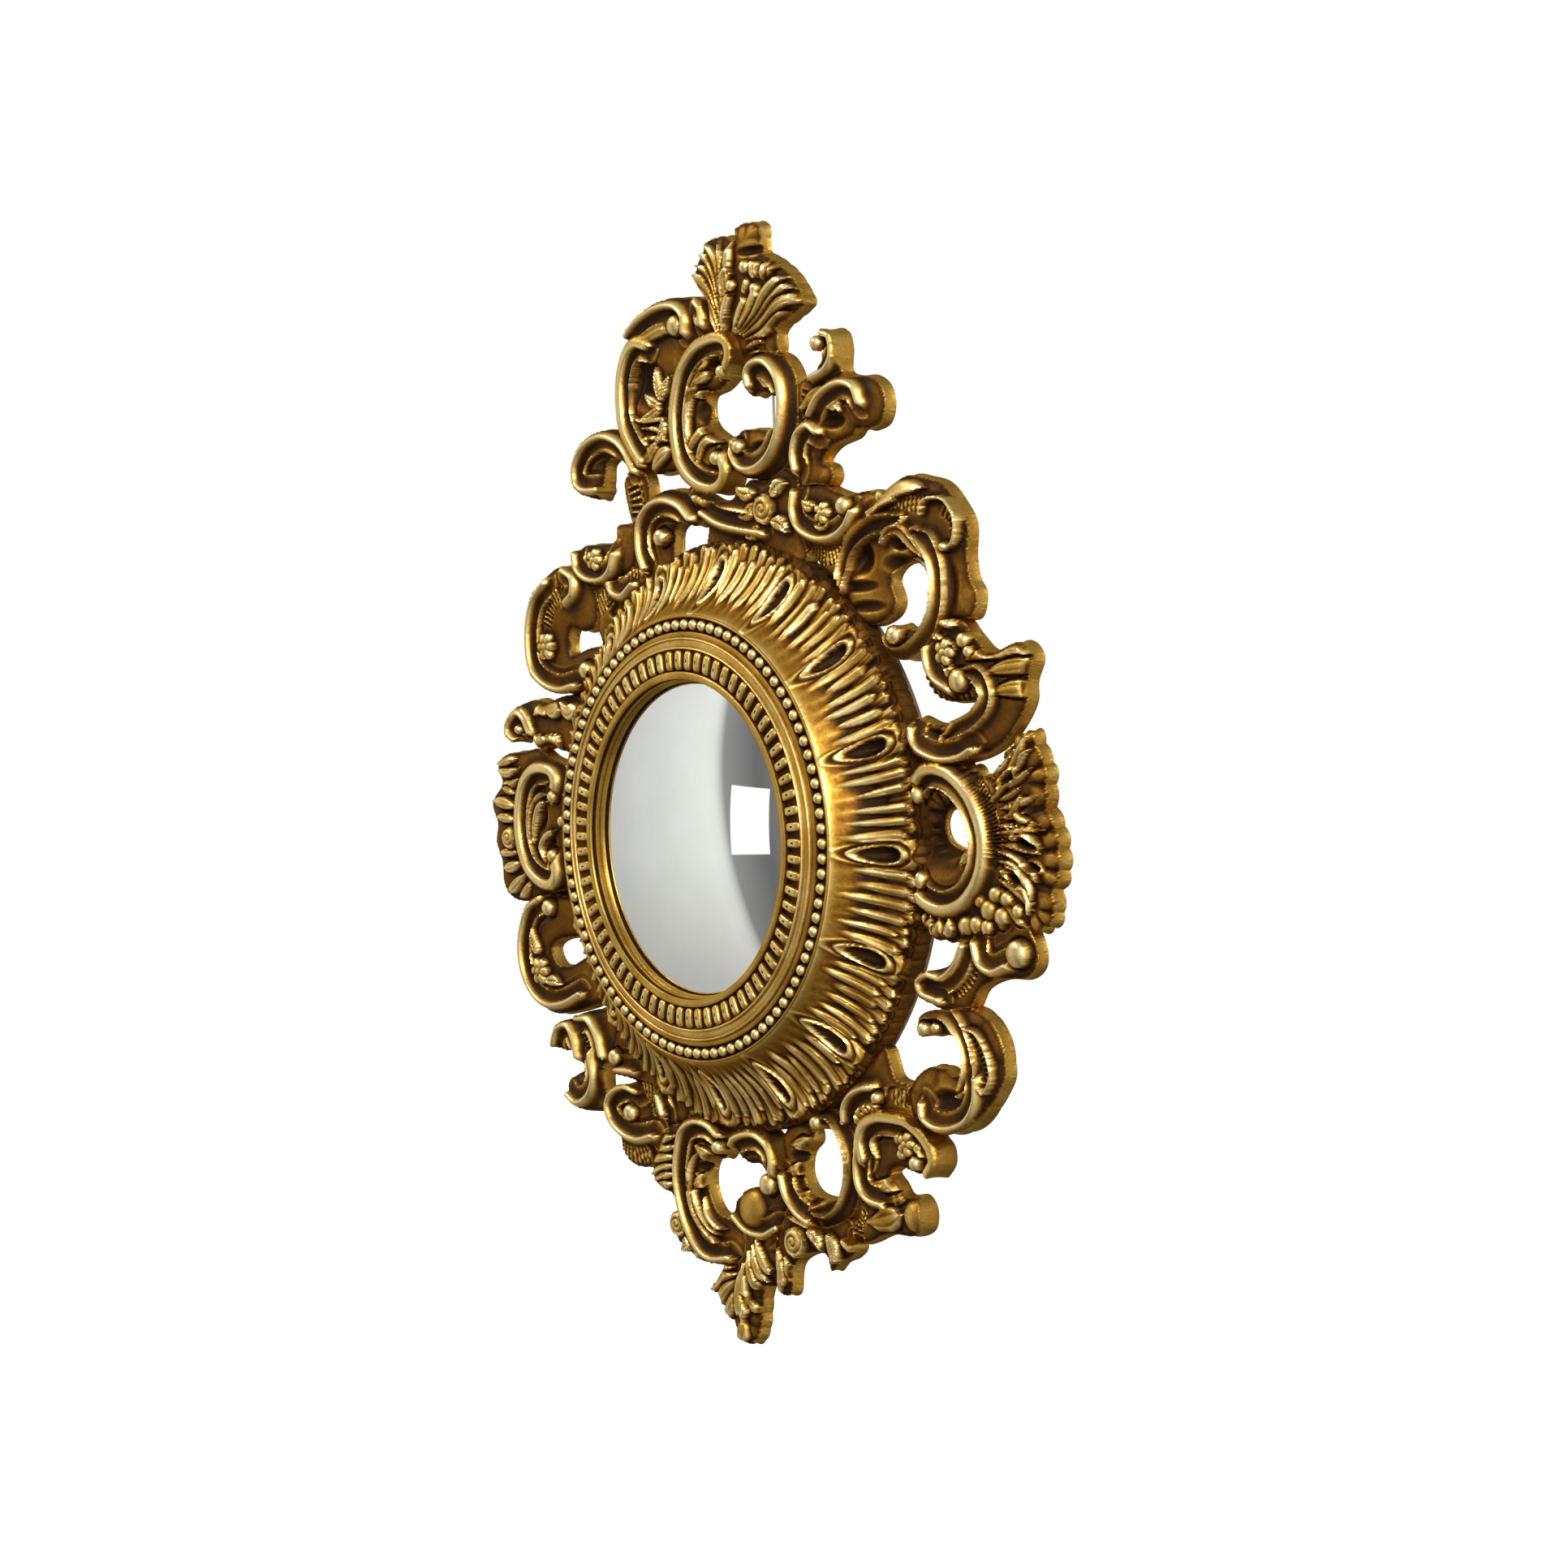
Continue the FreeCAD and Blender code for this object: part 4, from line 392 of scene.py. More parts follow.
            ([(35, 311), (35, 321)], 1.5, 17), ([(38, 311), (39, 320)], 1.3, 16.6), ([(43, 310),
            (47, 320)], 1.6, 17), ([(26, 303), (30, 311)], 1.3, 16.8), ([(47, 311), (53, 316),
            (63, 315)], 1.6, 16), ([(23, 273), (37, 276), (43, 274)], 1.4, 14.5), ([(22, 268),
            (38, 271)], 1.3, 13.5)],
        "balls": [(14, 309, 3.4, 17.5), (27, 318, 3.6, 17.5), (37, 305, 3.2, 18.3)],
    },
    "crest_rose_spray": {
        "edge": [(-34, 200), (-16, 191), (8, 190), (20, 200), (36, 199), (52, 205), (64, 198),
            (62, 184), (66, 170), (66, 150), (0, 150), (-20, 152), (-22, 164), (-20, 176), (-26, 184),
            (-38, 192)],
        "combs": [([(-20, 189), (-4, 183), (14, 179)], 3, 2.6)],
        "rims": [[(-24, 193), (-8, 187), (12, 184), (24, 182)], [(-18, 184), (-2, 177), (16, 173),
            (36, 170)]],
        "leaves": [(30, 192, 14, 197, 4.5), (30, 186, 16, 180, 4.5), (46, 176, 60, 168, 4.5),
            (46, 190, 60, 196, 4.5), (34, 174, 22, 168, 4)],
        "roses": [(39, 183, 9)],
    },
    "lower_right_shell": {
        "edge": [(94, -152), (96, -142), (100, -132), (124, -112), (134, -128), (148, -132),
            (152, -142), (150, -150), (130, -148), (112, -152), (104, -162), (98, -160)],
        "combs": [([(134, -137), (150, -139)], 4, 3.2)],
        "strokes": [([(100, -147), (109, -156)], 1.9, 16), ([(103, -143), (114, -155)], 1.9, 16),
            ([(108, -141), (118, -152)], 1.9, 16), ([(113, -139), (121, -149)], 1.9, 16),
            ([(117, -138), (123, -146)], 1.7, 16)],
        "rims": [[(96, -154), (97, -146), (103, -139), (112, -135), (121, -134)]],
        "eyes": [(124, -139, 3.4)],
    },
    "right_small_scroll": {
        "edge": [(161, -76), (166, -69), (180, -66), (190, -58), (196, -50), (208, -44), (222, -42),
            (240, -40), (249, -50), (250, -62), (240, -69), (222, -70), (206, -76), (196, -88),
            (178, -90), (164, -82)],
        "combs": [([(190, -78), (200, -70), (206, -60)], 4, 3)],
        "rims": [[(178, -83), (166, -80), (163, -74), (170, -70), (182, -71), (193, -64), (199, -54)],
            [(208, -52), (212, -62), (222, -66), (234, -62)]],
        "eyes": [(240, -56, 7)],
    },
    "upper_left_shell": {
        "edge": [(-132, 124), (-131, 145), (-118, 150), (-100, 156), (-84, 158), (-76, 145),
            (-100, 115), (-124, 112), (-131, 118)],
        "combs": [([(-128, 134), (-118, 140), (-112, 134)], 6, 3.2), ([(-106, 150), (-96, 150),
            (-84, 152)], 6, 3.2)],
        "rims": [[(-112, 148), (-108, 142), (-98, 140), (-88, 146)]],
    },
    "bottom_left_link": {
        "edge": [(-124, -118), (-108, -112), (-80, -130), (-60, -148), (-56, -166), (-74, -170),
            (-84, -162), (-96, -158), (-106, -148), (-122, -144), (-134, -138)],
        "combs": [([(-100, -152), (-88, -154), (-76, -160)], 5, 3.4)],
        "rims": [[(-120, -141), (-104, -141)], [(-78, -154), (-74, -164)]],
        "eyes": [(-122, -134, 5)],
    },
    "bottom_left_spray": {
        "edge": [(-70, -168), (-84, -186), (-94, -201), (-84, -208), (-74, -212), (-70, -220),
            (-72, -228), (-70, -238), (-58, -244), (-48, -248), (-36, -246), (-44, -232), (-56, -216),
            (-62, -200), (-60, -176)],
        "strokes": [([(-64, -176), (-76, -179), (-88, -183)], 2.3, 16.3), ([(-64, -182), (-76, -185),
            (-88, -186)], 2.3, 16.3), ([(-64, -188), (-76, -190), (-88, -192)], 2.3, 16.3),
            ([(-64, -193), (-76, -196), (-88, -201)], 2.3, 16.3), ([(-64, -198), (-76, -201),
            (-88, -207)], 2.3, 16.3), ([(-64, -204), (-76, -206), (-88, -210)], 2.3, 16.3)],
        "leaves": [(-54, -234, -60, -243, 4), (-48, -236, -44, -246, 4)],
        "roses": [(-62, -227, 8)],
    },
    "bottom_rose": {
        "edge": [(27, -222), (34, -212), (50, -211), (62, -214), (72, -214), (82, -210), (92, -210),
            (98, -223), (92, -230), (82, -234), (74, -240), (70, -232), (60, -231), (46, -236),
            (40, -243), (37, -257), (26, -257), (26, -240)],
        "strokes": [([(30, -232), (33, -244), (32, -256)], 2.6, 15.5), ([(36, -236), (40, -246),
            (41, -256)], 2.6, 15), ([(40, -213), (52, -214), (64, -217)], 2, 15.5)],
        "leaves": [(60, -218, 72, -229, 4), (78, -218, 82, -237, 4.5), (90, -220, 100, -228, 4)],
        "roses": [(48, -226, 9)],
    },
    "bottom_drop": {
        "edge": [(-20, -244), (-30, -256), (-38, -264), (-28, -266), (-24, -274), (-18, -279),
            (-12, -288), (-4, -291), (3, -288), (8, -279), (10, -268), (14, -256), (30, -254),
            (30, -244), (26, -226), (0, -222), (-12, -232)],
        "scallop": (0.8, 9.0),
        "strokes": [([(-11, -247), (-21, -249), (-31, -251)], 1.7, 16), ([(-10, -251), (-26, -256),
            (-39, -264)], 3.6, 16.6), ([(-7, -254), (-18, -261), (-27, -272)], 3.2, 16.6),
            ([(-5, -258), (-13, -268), (-19, -279)], 3, 16.6), ([(0, -244), (-3, -262),
            (-3, -279)], 4.6, 17.6), ([(-4, -275), (-5, -283), (-7, -291)], 4, 15), ([(4, -236),
            (6, -250), (14, -259)], 2.6, 16.6), ([(8, -232), (12, -246), (22, -252)], 2.4, 16.4),
            ([(11, -228), (18, -242), (28, -247)], 2.4, 16.4), ([(-1, -262), (5, -268),
            (11, -270)], 2.4, 14.6)],
    },
}


# ------------------------------------------------------------------------------------ meshes

def add_object(name, data):
    """A new object in the scene."""
    made = bpy.data.objects.new(name, data)
    bpy.context.scene.collection.objects.link(made)
    return made


def to_frame(points):
    """Points as (u, v, w) in millimetres, turned into the frame's metres."""
    points = np.asarray(points, dtype=float)
    return np.stack([points[:, 0], -points[:, 2], points[:, 1]], axis=1) / 1000


def make_piece(name, points, faces, material, slot, nodes, body="frame", sharp=50, **values):
    """A mesh piece that rides on a body and stands for CAD nodes. Extra values are per point."""
    mesh = bpy.data.meshes.new(name)
    faces = np.asarray(faces, dtype=np.int32)
    mesh.vertices.add(len(points))
    mesh.vertices.foreach_set("co", to_frame(points).astype(np.float32).ravel())
    mesh.loops.add(faces.size)
    mesh.loops.foreach_set("vertex_index", faces.ravel())
    mesh.polygons.add(len(faces))
    mesh.polygons.foreach_set("loop_start", np.arange(0, faces.size, faces.shape[1], dtype=np.int32))
    for word, numbers in values.items():
        attribute = mesh.attributes.new(word, "FLOAT", "POINT")
        attribute.data.foreach_set("value", np.asarray(numbers, dtype=np.float32))
    mesh.update(calc_edges=True)
    mesh.validate()
    mesh.shade_smooth()
    mesh.set_sharp_from_angle(angle=math.radians(sharp))
    mesh.materials.append(material)
    piece = add_object(name, mesh)
    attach(piece, body)
    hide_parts(*nodes)
    return piece


def loop_faces(rows, columns):
    """Quads of a tube of rows, each a closed ring of columns, whose last row joins its first."""
    row, column = np.meshgrid(np.arange(rows), np.arange(columns), indexing="ij")
    after_row = (row + 1) % rows
    after_column = (column + 1) % columns
    corners = [row * columns + column, row * columns + after_column,
               after_row * columns + after_column, after_row * columns + column]
    return np.stack([corner.ravel() for corner in corners], axis=1)


def ring_points(radius, angle, height):
    """Points at a radius, an angle and a height, each given alone or as rows and columns."""
    spots = (radius * np.cos(angle), radius * np.sin(angle), height)
    return np.stack(np.broadcast_arrays(*spots), axis=2)


def turned(profile, columns):
    """Points and faces of a ring with a closed (radius, height) section."""
    angles = np.linspace(0, 2 * np.pi, columns, endpoint=False)
    radius = np.array([point[0] for point in profile])[:, None]
    height = np.array([point[1] for point in profile])[:, None]
    points = ring_points(radius, angles, height)
    return points.reshape(-1, 3), loop_faces(len(profile), columns)


# ------------------------------------------------------------------------------------ relief

def smooth_line(points, closed=False, per_span=6):
    """A smooth line through the points."""
    points = np.array(points, dtype=float)
    count = len(points)
    spans = count if closed else count - 1
    steps = np.linspace(0, 1, per_span, endpoint=False)[:, None]
    runs = []
    for index in range(spans):
        if closed:
            p0, p1, p2, p3 = (points[(index + shift) % count] for shift in (-1, 0, 1, 2))
        else:
            p1, p2 = points[index], points[index + 1]
            p0 = points[index - 1] if index > 0 else 2 * p1 - p2
            p3 = points[index + 2] if index + 2 < count else 2 * p2 - p1
        runs.append(0.5 * (2 * p1 + (p2 - p0) * steps + (2 * p0 - 5 * p1 + 4 * p2 - p3) * steps ** 2
                           + (3 * p1 - p0 - 3 * p2 + p3) * steps ** 3))
    if not closed:
        runs.append(points[-1:])
    return np.concatenate(runs)


def along(line, u, v):
    """Distance to a line, signed side (positive to its left) and distance along it."""
    best = np.full(u.shape, 1e9)
    side = np.zeros(u.shape)
    travel = np.zeros(u.shape)
    start = 0.0
    for first, second in zip(line[:-1], line[1:]):
        step = second - first
        length = math.hypot(*step)
        if length < 1e-6:
            continue
        share = np.clip(((u - first[0]) * step[0] + (v - first[1]) * step[1]) / length ** 2, 0, 1)
        gap_u = u - first[0] - share * step[0]
        gap_v = v - first[1] - share * step[1]
        gap = gap_u ** 2 + gap_v ** 2
        nearer = gap < best
        best = np.where(nearer, gap, best)
        side = np.where(nearer, step[0] * gap_v - step[1] * gap_u, side)
        travel = np.where(nearer, start + share * length, travel)
        start += length
    distance = np.sqrt(best)
    return distance, distance * np.where(side < 0, -1, 1), travel


def inside(line, u, v):
    """Which points a closed line goes round."""
    crossed = np.zeros(u.shape, dtype=bool)
    for first, second in zip(line, np.roll(line, -1, axis=0)):
        if first[1] == second[1]:
            continue
        between = (first[1] > v) != (second[1] > v)
        reach = first[0] + (v - first[1]) * (second[0] - first[0]) / (second[1] - first[1])
        crossed ^= between & (u < reach)
    return crossed


def outline_gap(outline, u, v):
    """Signed gap to a smooth closed outline, negative inside, and the distance along it."""
    line = smooth_line(outline, closed=True)
    distance, _, travel = along(np.concatenate([line, line[:1]]), u, v)
    return np.where(inside(line, u, v), -distance, distance), travel


def ease(value):
    """0 below 0, 1 above 1 and a smooth rise between."""
    value = np.clip(value, 0, 1)
    return value * value * (3 - 2 * value)


def hill(value, middle, width):
    """A smooth bell, 1 at its middle."""
    return np.exp(-((value - middle) / width) ** 2)


def dome(share):
    """The height of a half-round bead, 1 in its middle and 0 from a share of 1 outwards."""
    return np.sqrt(np.clip(1 - share ** 2, 0, 1))


def lobes(phase):
    """Round ridges with sharp valleys, one for each unit of phase, from 0 to 1."""
    return np.abs(np.sin(np.pi * phase)) ** 0.75


def blurred(field, mask, radius):
    """A box blur of a field over the part of it under the mask, run three times."""
    reach = max(1, int(round(radius / STEP)))
    values = np.where(mask, field, 0.0)
    weights = mask.astype(float)
    for _ in range(3):
        for axis in (0, 1):
            total = np.zeros_like(values)
            share = np.zeros_like(weights)
            for shift in range(-reach, reach + 1):
                total += np.roll(values, shift, axis)
                share += np.roll(weights, shift, axis)
            values = total / (2 * reach + 1)
            weights = share / (2 * reach + 1)
    return values / np.maximum(weights, 1e-6)


def wander(u, v, scale, seed):
    """Smooth unevenness between -1 and 1 from a few crossed waves."""
    total = np.zeros(np.shape(u))
    draw = np.random.default_rng(seed)
    for _ in range(5):
        angle = draw.uniform(0, 2 * np.pi)
        phase = draw.uniform(0, 2 * np.pi)
        stretch = draw.uniform(0.7, 1.5)
        total += np.sin((u * np.cos(angle) + v * np.sin(angle)) * stretch / scale + phase)
    return total / 5


def bent_left(line):
    """1 if a line turns to the left on the whole, otherwise -1."""
    steps = np.diff(line, axis=0)
    turns = steps[:-1, 0] * steps[1:, 1] - steps[:-1, 1] * steps[1:, 0]
    return 1 if turns.sum() >= 0 else -1


def add_rim(height, path, u, v, half=1.25, level=0.9):
    """A raised scroll edge with a smooth hollow band on its inner side and a roll outside."""
    line = smooth_line(path)
    distance, side, travel = along(line, u, v)
    total = np.hypot(*np.diff(line, axis=0).T).sum()
    inner = side * bent_left(line)
    ends = ease((travel + 3) / 9) * ease((total - travel + 3) / 9)
    beyond = np.maximum(distance - half, 0)
    shoulder = RIM_TOP - level - 0.4 * (1 - ends)
    hollow = 14.1 + 0.145 * (inner - 5.4) ** 2
    nested = 0.8 * hill(inner, 9.3, 0.6) + 0.5 * hill(inner, 12.9, 0.6)
    within = (inner > 0) * ends * (1 - ease((inner - 16) / 2))
    cover = within * (1 - ease((beyond - 7.6) / 0.8))
    height = height + cover * (np.minimum(hollow, shoulder) - height) + within * nested
    flank = height + (shoulder - height) * hill(beyond, 0, np.where(inner > 0, 0.7, 2.6))
    height = np.where(distance < 9, np.maximum(height, flank), height)
    bead = shoulder + level * dome(distance / half)
    return np.where(distance < half, np.maximum(height, bead), height)


def add_thin(height, path, u, v):
    """A thin raised line and nothing beside it."""
    half, foot, rise = 1.1, 16.2, 1.6
    distance, _, _ = along(smooth_line(path), u, v)
    line = foot + rise * dome(distance / half)
    return np.where(distance < half, np.maximum(height, line), height)


def add_band(height, path, width, floor, u, v):
    """A hollow ribbon beside a line, to its left where the width is positive, with beaded edges."""
    line = smooth_line(path)
    distance, side, travel = along(line, u, v)
    total = np.hypot(*np.diff(line, axis=0).T).sum()
    ends = ease((travel + 2) / 12) * ease((total - travel + 2) / 12)
    reach = abs(width) * (0.35 + 0.65 * ends)
    share = side * np.sign(width) / reach
    edge = 17.3 - 0.3 * (1 - ends)
    ribbon = floor + (edge - 0.6 - floor) * (2 * share - 1) ** 2
    beads = 1.2 * (hill(share * reach, 0, 0.75) + hill((share - 1) * reach, 0, 0.75))
    held = (share > -0.08) & (share < 1.08) & (distance < abs(width) * 1.08)
    beyond = np.maximum(np.abs(share - 0.5) - 0.5, 0) * reach
    flank = height + (edge - height) * hill(beyond, 0, 1.6)
    height = np.where(distance < abs(width) + 4, np.maximum(height, flank), height)
    return np.where(held, ribbon + beads, height)


def add_comb(height, path, half, pitch, u, v):
    """A row of narrow loops across a line: thin ridges with a sunk ground between."""
    distance, side, travel = along(smooth_line(path), u, v)
    band = 1 - ease((distance - half) / 0.9)
    place = (travel / pitch) % 1 - 0.5
    loop = np.hypot(place * pitch, np.maximum(side - half + 0.42 * pitch, 0))
    ridge = hill(loop, 0.40 * pitch, 0.15 * pitch)
    return height + band * (2.3 * ridge - 1.7)


def add_stroke(height, path, half, top, u, v):
    """A long tapered leaf along a line, with a groove beside its midrib."""
    line = smooth_line(path)
    distance, side, travel = along(line, u, v)
    total = np.hypot(*np.diff(line, axis=0).T).sum()
    share = np.clip(travel / total, 0, 1)
    width = half * (0.30 + 0.95 * np.sin(np.pi * share ** 1.25) ** 0.9)
    width = width * (1 - 0.75 * ease((share - 0.8) / 0.2))
    across = distance / width
    groove = 0.55 * hill(np.abs(side) / width, 0.42, 0.13)
    shape = top - 1.5 + 2.3 * dome(across) - groove - 1.3 * (1 - ease(share / 0.3))
    height = np.where(across < 1.3, np.minimum(height, np.maximum(height - 1.6, top - 4.2)), height)
    return np.where(across < 1, np.maximum(height, shape), height)


def fan_strokes(spec):
    """Strokes that spread from a point, every second one shorter, lower and drawn under the rest."""
    centre_u, centre_v, first, last, count, near, far, half, top, bend = spec
    strokes = []
    order = sorted(range(count), key=lambda index: index % 2, reverse=True)
    for index in order:
        share = index / max(1, count - 1)
        angle = math.radians(first + (last - first) * share)
        reach = far * (1 - 0.10 * (index % 2))
        curve = math.radians(bend) * (2 * share - 1)
        points = []
        for step in (0, 0.35, 0.7, 1):
            radius = near + (reach - near) * step
            turn = angle + curve * step ** 2
            points.append((centre_u + radius * math.cos(turn), centre_v + radius * math.sin(turn)))
        strokes.append((points, half, top - 0.7 * (index % 2)))
    return strokes


def add_leaf(height, spec, u, v):
    """A pointed leaf from its stalk to its tip, with a midrib and veins."""
    start_u, start_v, tip_u, tip_v, half = spec
    length = math.hypot(tip_u - start_u, tip_v - start_v)
    ahead_u, ahead_v = (tip_u - start_u) / length, (tip_v - start_v) / length
    share = ((u - start_u) * ahead_u + (v - start_v) * ahead_v) / length
    aside = (v - start_v) * ahead_u - (u - start_u) * ahead_v - half * 0.5 * np.sin(share * 3)
    width = half * np.sin(np.pi * np.clip(share, 0, 1) ** 0.75) ** 0.8 + 0.01
    across = np.clip(np.abs(aside) / width, 0, 1)
    veins = 0.35 * np.sin(2 * np.pi * (share * length - np.abs(aside)) / 2.2)
    shape = 15.2 + 2.0 * dome(across) - 1.0 * hill(aside, 0, 0.55) + veins
    return np.where((share > 0) & (share < 1) & (across < 1), np.maximum(height, shape), height)


def add_flower(height, spec, u, v):
    """An open flower with round petals and a button in its middle."""
    centre_u, centre_v, radius, petals = spec
    share = np.hypot(u - centre_u, v - centre_v) / radius
    turn = np.abs(np.cos(np.arctan2(v - centre_v, u - centre_u) * petals / 2))
    reach = 0.66 + 0.42 * turn ** 0.6
    petal = 16.2 + 1.6 * np.sin(np.pi * np.clip(share / reach, 0, 1)) - 1.2 * (1 - turn) ** 2
    button = 16.6 + 1.8 * dome(share / 0.3)
    height = np.where(share < reach + 0.18, np.minimum(height, 13.2), height)
    height = np.where(share < reach, np.maximum(height, petal), height)
    return np.where(share < 0.3, np.maximum(15.4, button), height)


def add_rose(height, spec, u, v):
    """A rose: petals that wind in on each other towards a tight heart."""
    centre_u, centre_v, radius = spec
    share = np.hypot(u - centre_u, v - centre_v) / radius
    angle = np.arctan2(v - centre_v, u - centre_u)
    reach = 0.88 + 0.12 * np.abs(np.cos(angle * 2.5))
    winding = np.abs(np.sin(np.pi * (2.6 * share ** 0.8 - angle / (2 * np.pi))))
    shape = 15.4 + 2.6 * np.sqrt(np.clip(1.05 - share, 0, 1)) + 1.5 * (winding ** 0.7 - 0.5)
    height = np.where(share < reach + 0.15, np.minimum(height, 13.0), height)
    return np.where(share < reach, np.maximum(height, shape), height)


def add_eye(height, spec, u, v):
    """The round end of a scroll, a smooth knob with a groove round it."""
    centre_u, centre_v, radius = spec
    share = np.hypot(u - centre_u, v - centre_v) / (radius * 1.05)
    knob = 14.6 + 4.2 * dome(share)
    groove = 1.6 * hill(share, 1.12, 0.14)
    return np.where(share < 1, np.maximum(height - 1.5, knob), height - groove)


def add_bowl(height, spec, u, v):
    """A smooth oval hollow."""
    centre_u, centre_v, reach_u, reach_v, depth = spec
    share = np.clip(np.hypot((u - centre_u) / reach_u, (v - centre_v) / reach_v), 0, 1)
    return height - depth * (1 - share ** 2) ** 1.5


def add_ball(height, spec, u, v):
    """A smooth round knob."""
    centre_u, centre_v, radius, top = spec
    share = np.hypot(u - centre_u, v - centre_v) / radius
    knob = top - radius * 0.7 * (1 - dome(share))
    return np.where(share < 1, np.maximum(height, knob), height)


def add_pit(height, spec, u, v):
    """A deep oval pit with a raised edge."""
    centre_u, centre_v, length, width, turn = spec
    cosine, sine = math.cos(math.radians(turn)), math.sin(math.radians(turn))
    ahead = (u - centre_u) * cosine + (v - centre_v) * sine
    aside = (v - centre_v) * cosine - (u - centre_u) * sine
    share = np.hypot(ahead / length, aside / width)
    edge = 1.8 * hill(share, 1.35, 0.25)
    return height + edge - 7.0 * np.sqrt(np.clip(1 - share, 0, 1))


GRID_U = np.arange(LOW_U, HIGH_U, STEP)
GRID_V = np.arange(LOW_V, HIGH_V, STEP)
FIELD_U, FIELD_V = np.meshgrid(GRID_U, GRID_V)


def casting_fields(drawing, taken, seed):
    """The window, the gap to the free outline, the gap to everything and the height of a casting."""
    rims, wide = drawing.get("rims", []), drawing.get("wide", [])
    runs = [drawing["edge"]] + rims + wide
    spots = np.array([point for run in runs for point in run])
    margin = 6
    low = ((spots.min(axis=0) - margin - (LOW_U, LOW_V)) / STEP).astype(int)
    high = ((spots.max(axis=0) + margin - (LOW_U, LOW_V)) / STEP).astype(int)
    window = (slice(low[1], high[1]), slice(low[0], high[0]))
    u, v = FIELD_U[window], FIELD_V[window]
    free, travel = outline_gap(drawing["edge"], u, v)
    lift, pitch = drawing.get("scallop", (0.0, 10.0))
    scallop = lobes(travel / pitch) - 0.6
    free = free - lift * scallop
    for paths, reach in ((rims, 2.0), (wide, 3.0)):
        for path in paths:
            free = np.minimum(free, along(smooth_line(path), u, v)[0] - reach)
    for centre_u, centre_v, radius in drawing.get("eyes", []):
        free = np.minimum(free, np.hypot(u - centre_u, v - centre_v) - radius * 1.1)
    for hole in drawing.get("holes", []):
        free = np.maximum(free, -outline_gap(hole, u, v)[0])
    gap = np.maximum(free, RIM_RADIUS - np.hypot(u, v))
    gap = np.maximum(gap, -taken[window])
    depth = np.maximum(-free, 0)
    height = 9.6 + 3.4 * (1 - np.exp(-depth / 3.0)) + 0.35 * wander(u, v, 7, seed)
    height = height + 0.9 * lift * scallop * ease(depth / 1.5) * (1 - ease((depth - 6) / 6))
    for spec in drawing.get("bowls", []):
        height = add_bowl(height, spec, u, v)
    for path, half, pitch in drawing.get("combs", []):
        height = add_comb(height, path, half, pitch, u, v)
    strokes = []
    for spec in drawing.get("fans", []):
        strokes += fan_strokes(spec)
    for path, half, top in strokes + drawing.get("strokes", []):
        height = add_stroke(height, path, half, top, u, v)
    height = np.minimum(height, 10.0 + 8.0 * (1 - np.exp(-depth / 3.0)))
    for path, width, floor in drawing.get("bands", []):
        height = add_band(height, path, width, floor, u, v)
    for path in rims:
        height = add_rim(height, path, u, v)
    for path in wide:
        height = add_rim(height, path, u, v, half=2.3, level=0.6)
    for path in drawing.get("thin", []):
        height = add_thin(height, path, u, v)
    for word, adder in (("leaves", add_leaf), ("flowers", add_flower), ("roses", add_rose),
                        ("balls", add_ball), ("eyes", add_eye), ("pits", add_pit)):
        for spec in drawing.get(word, []):
            height = adder(height, spec, u, v)
    height = np.clip(height, BACK + 2.5, RIM_TOP + 0.6)
    taken[window] = np.minimum(taken[window], free)
    return window, free, gap, height


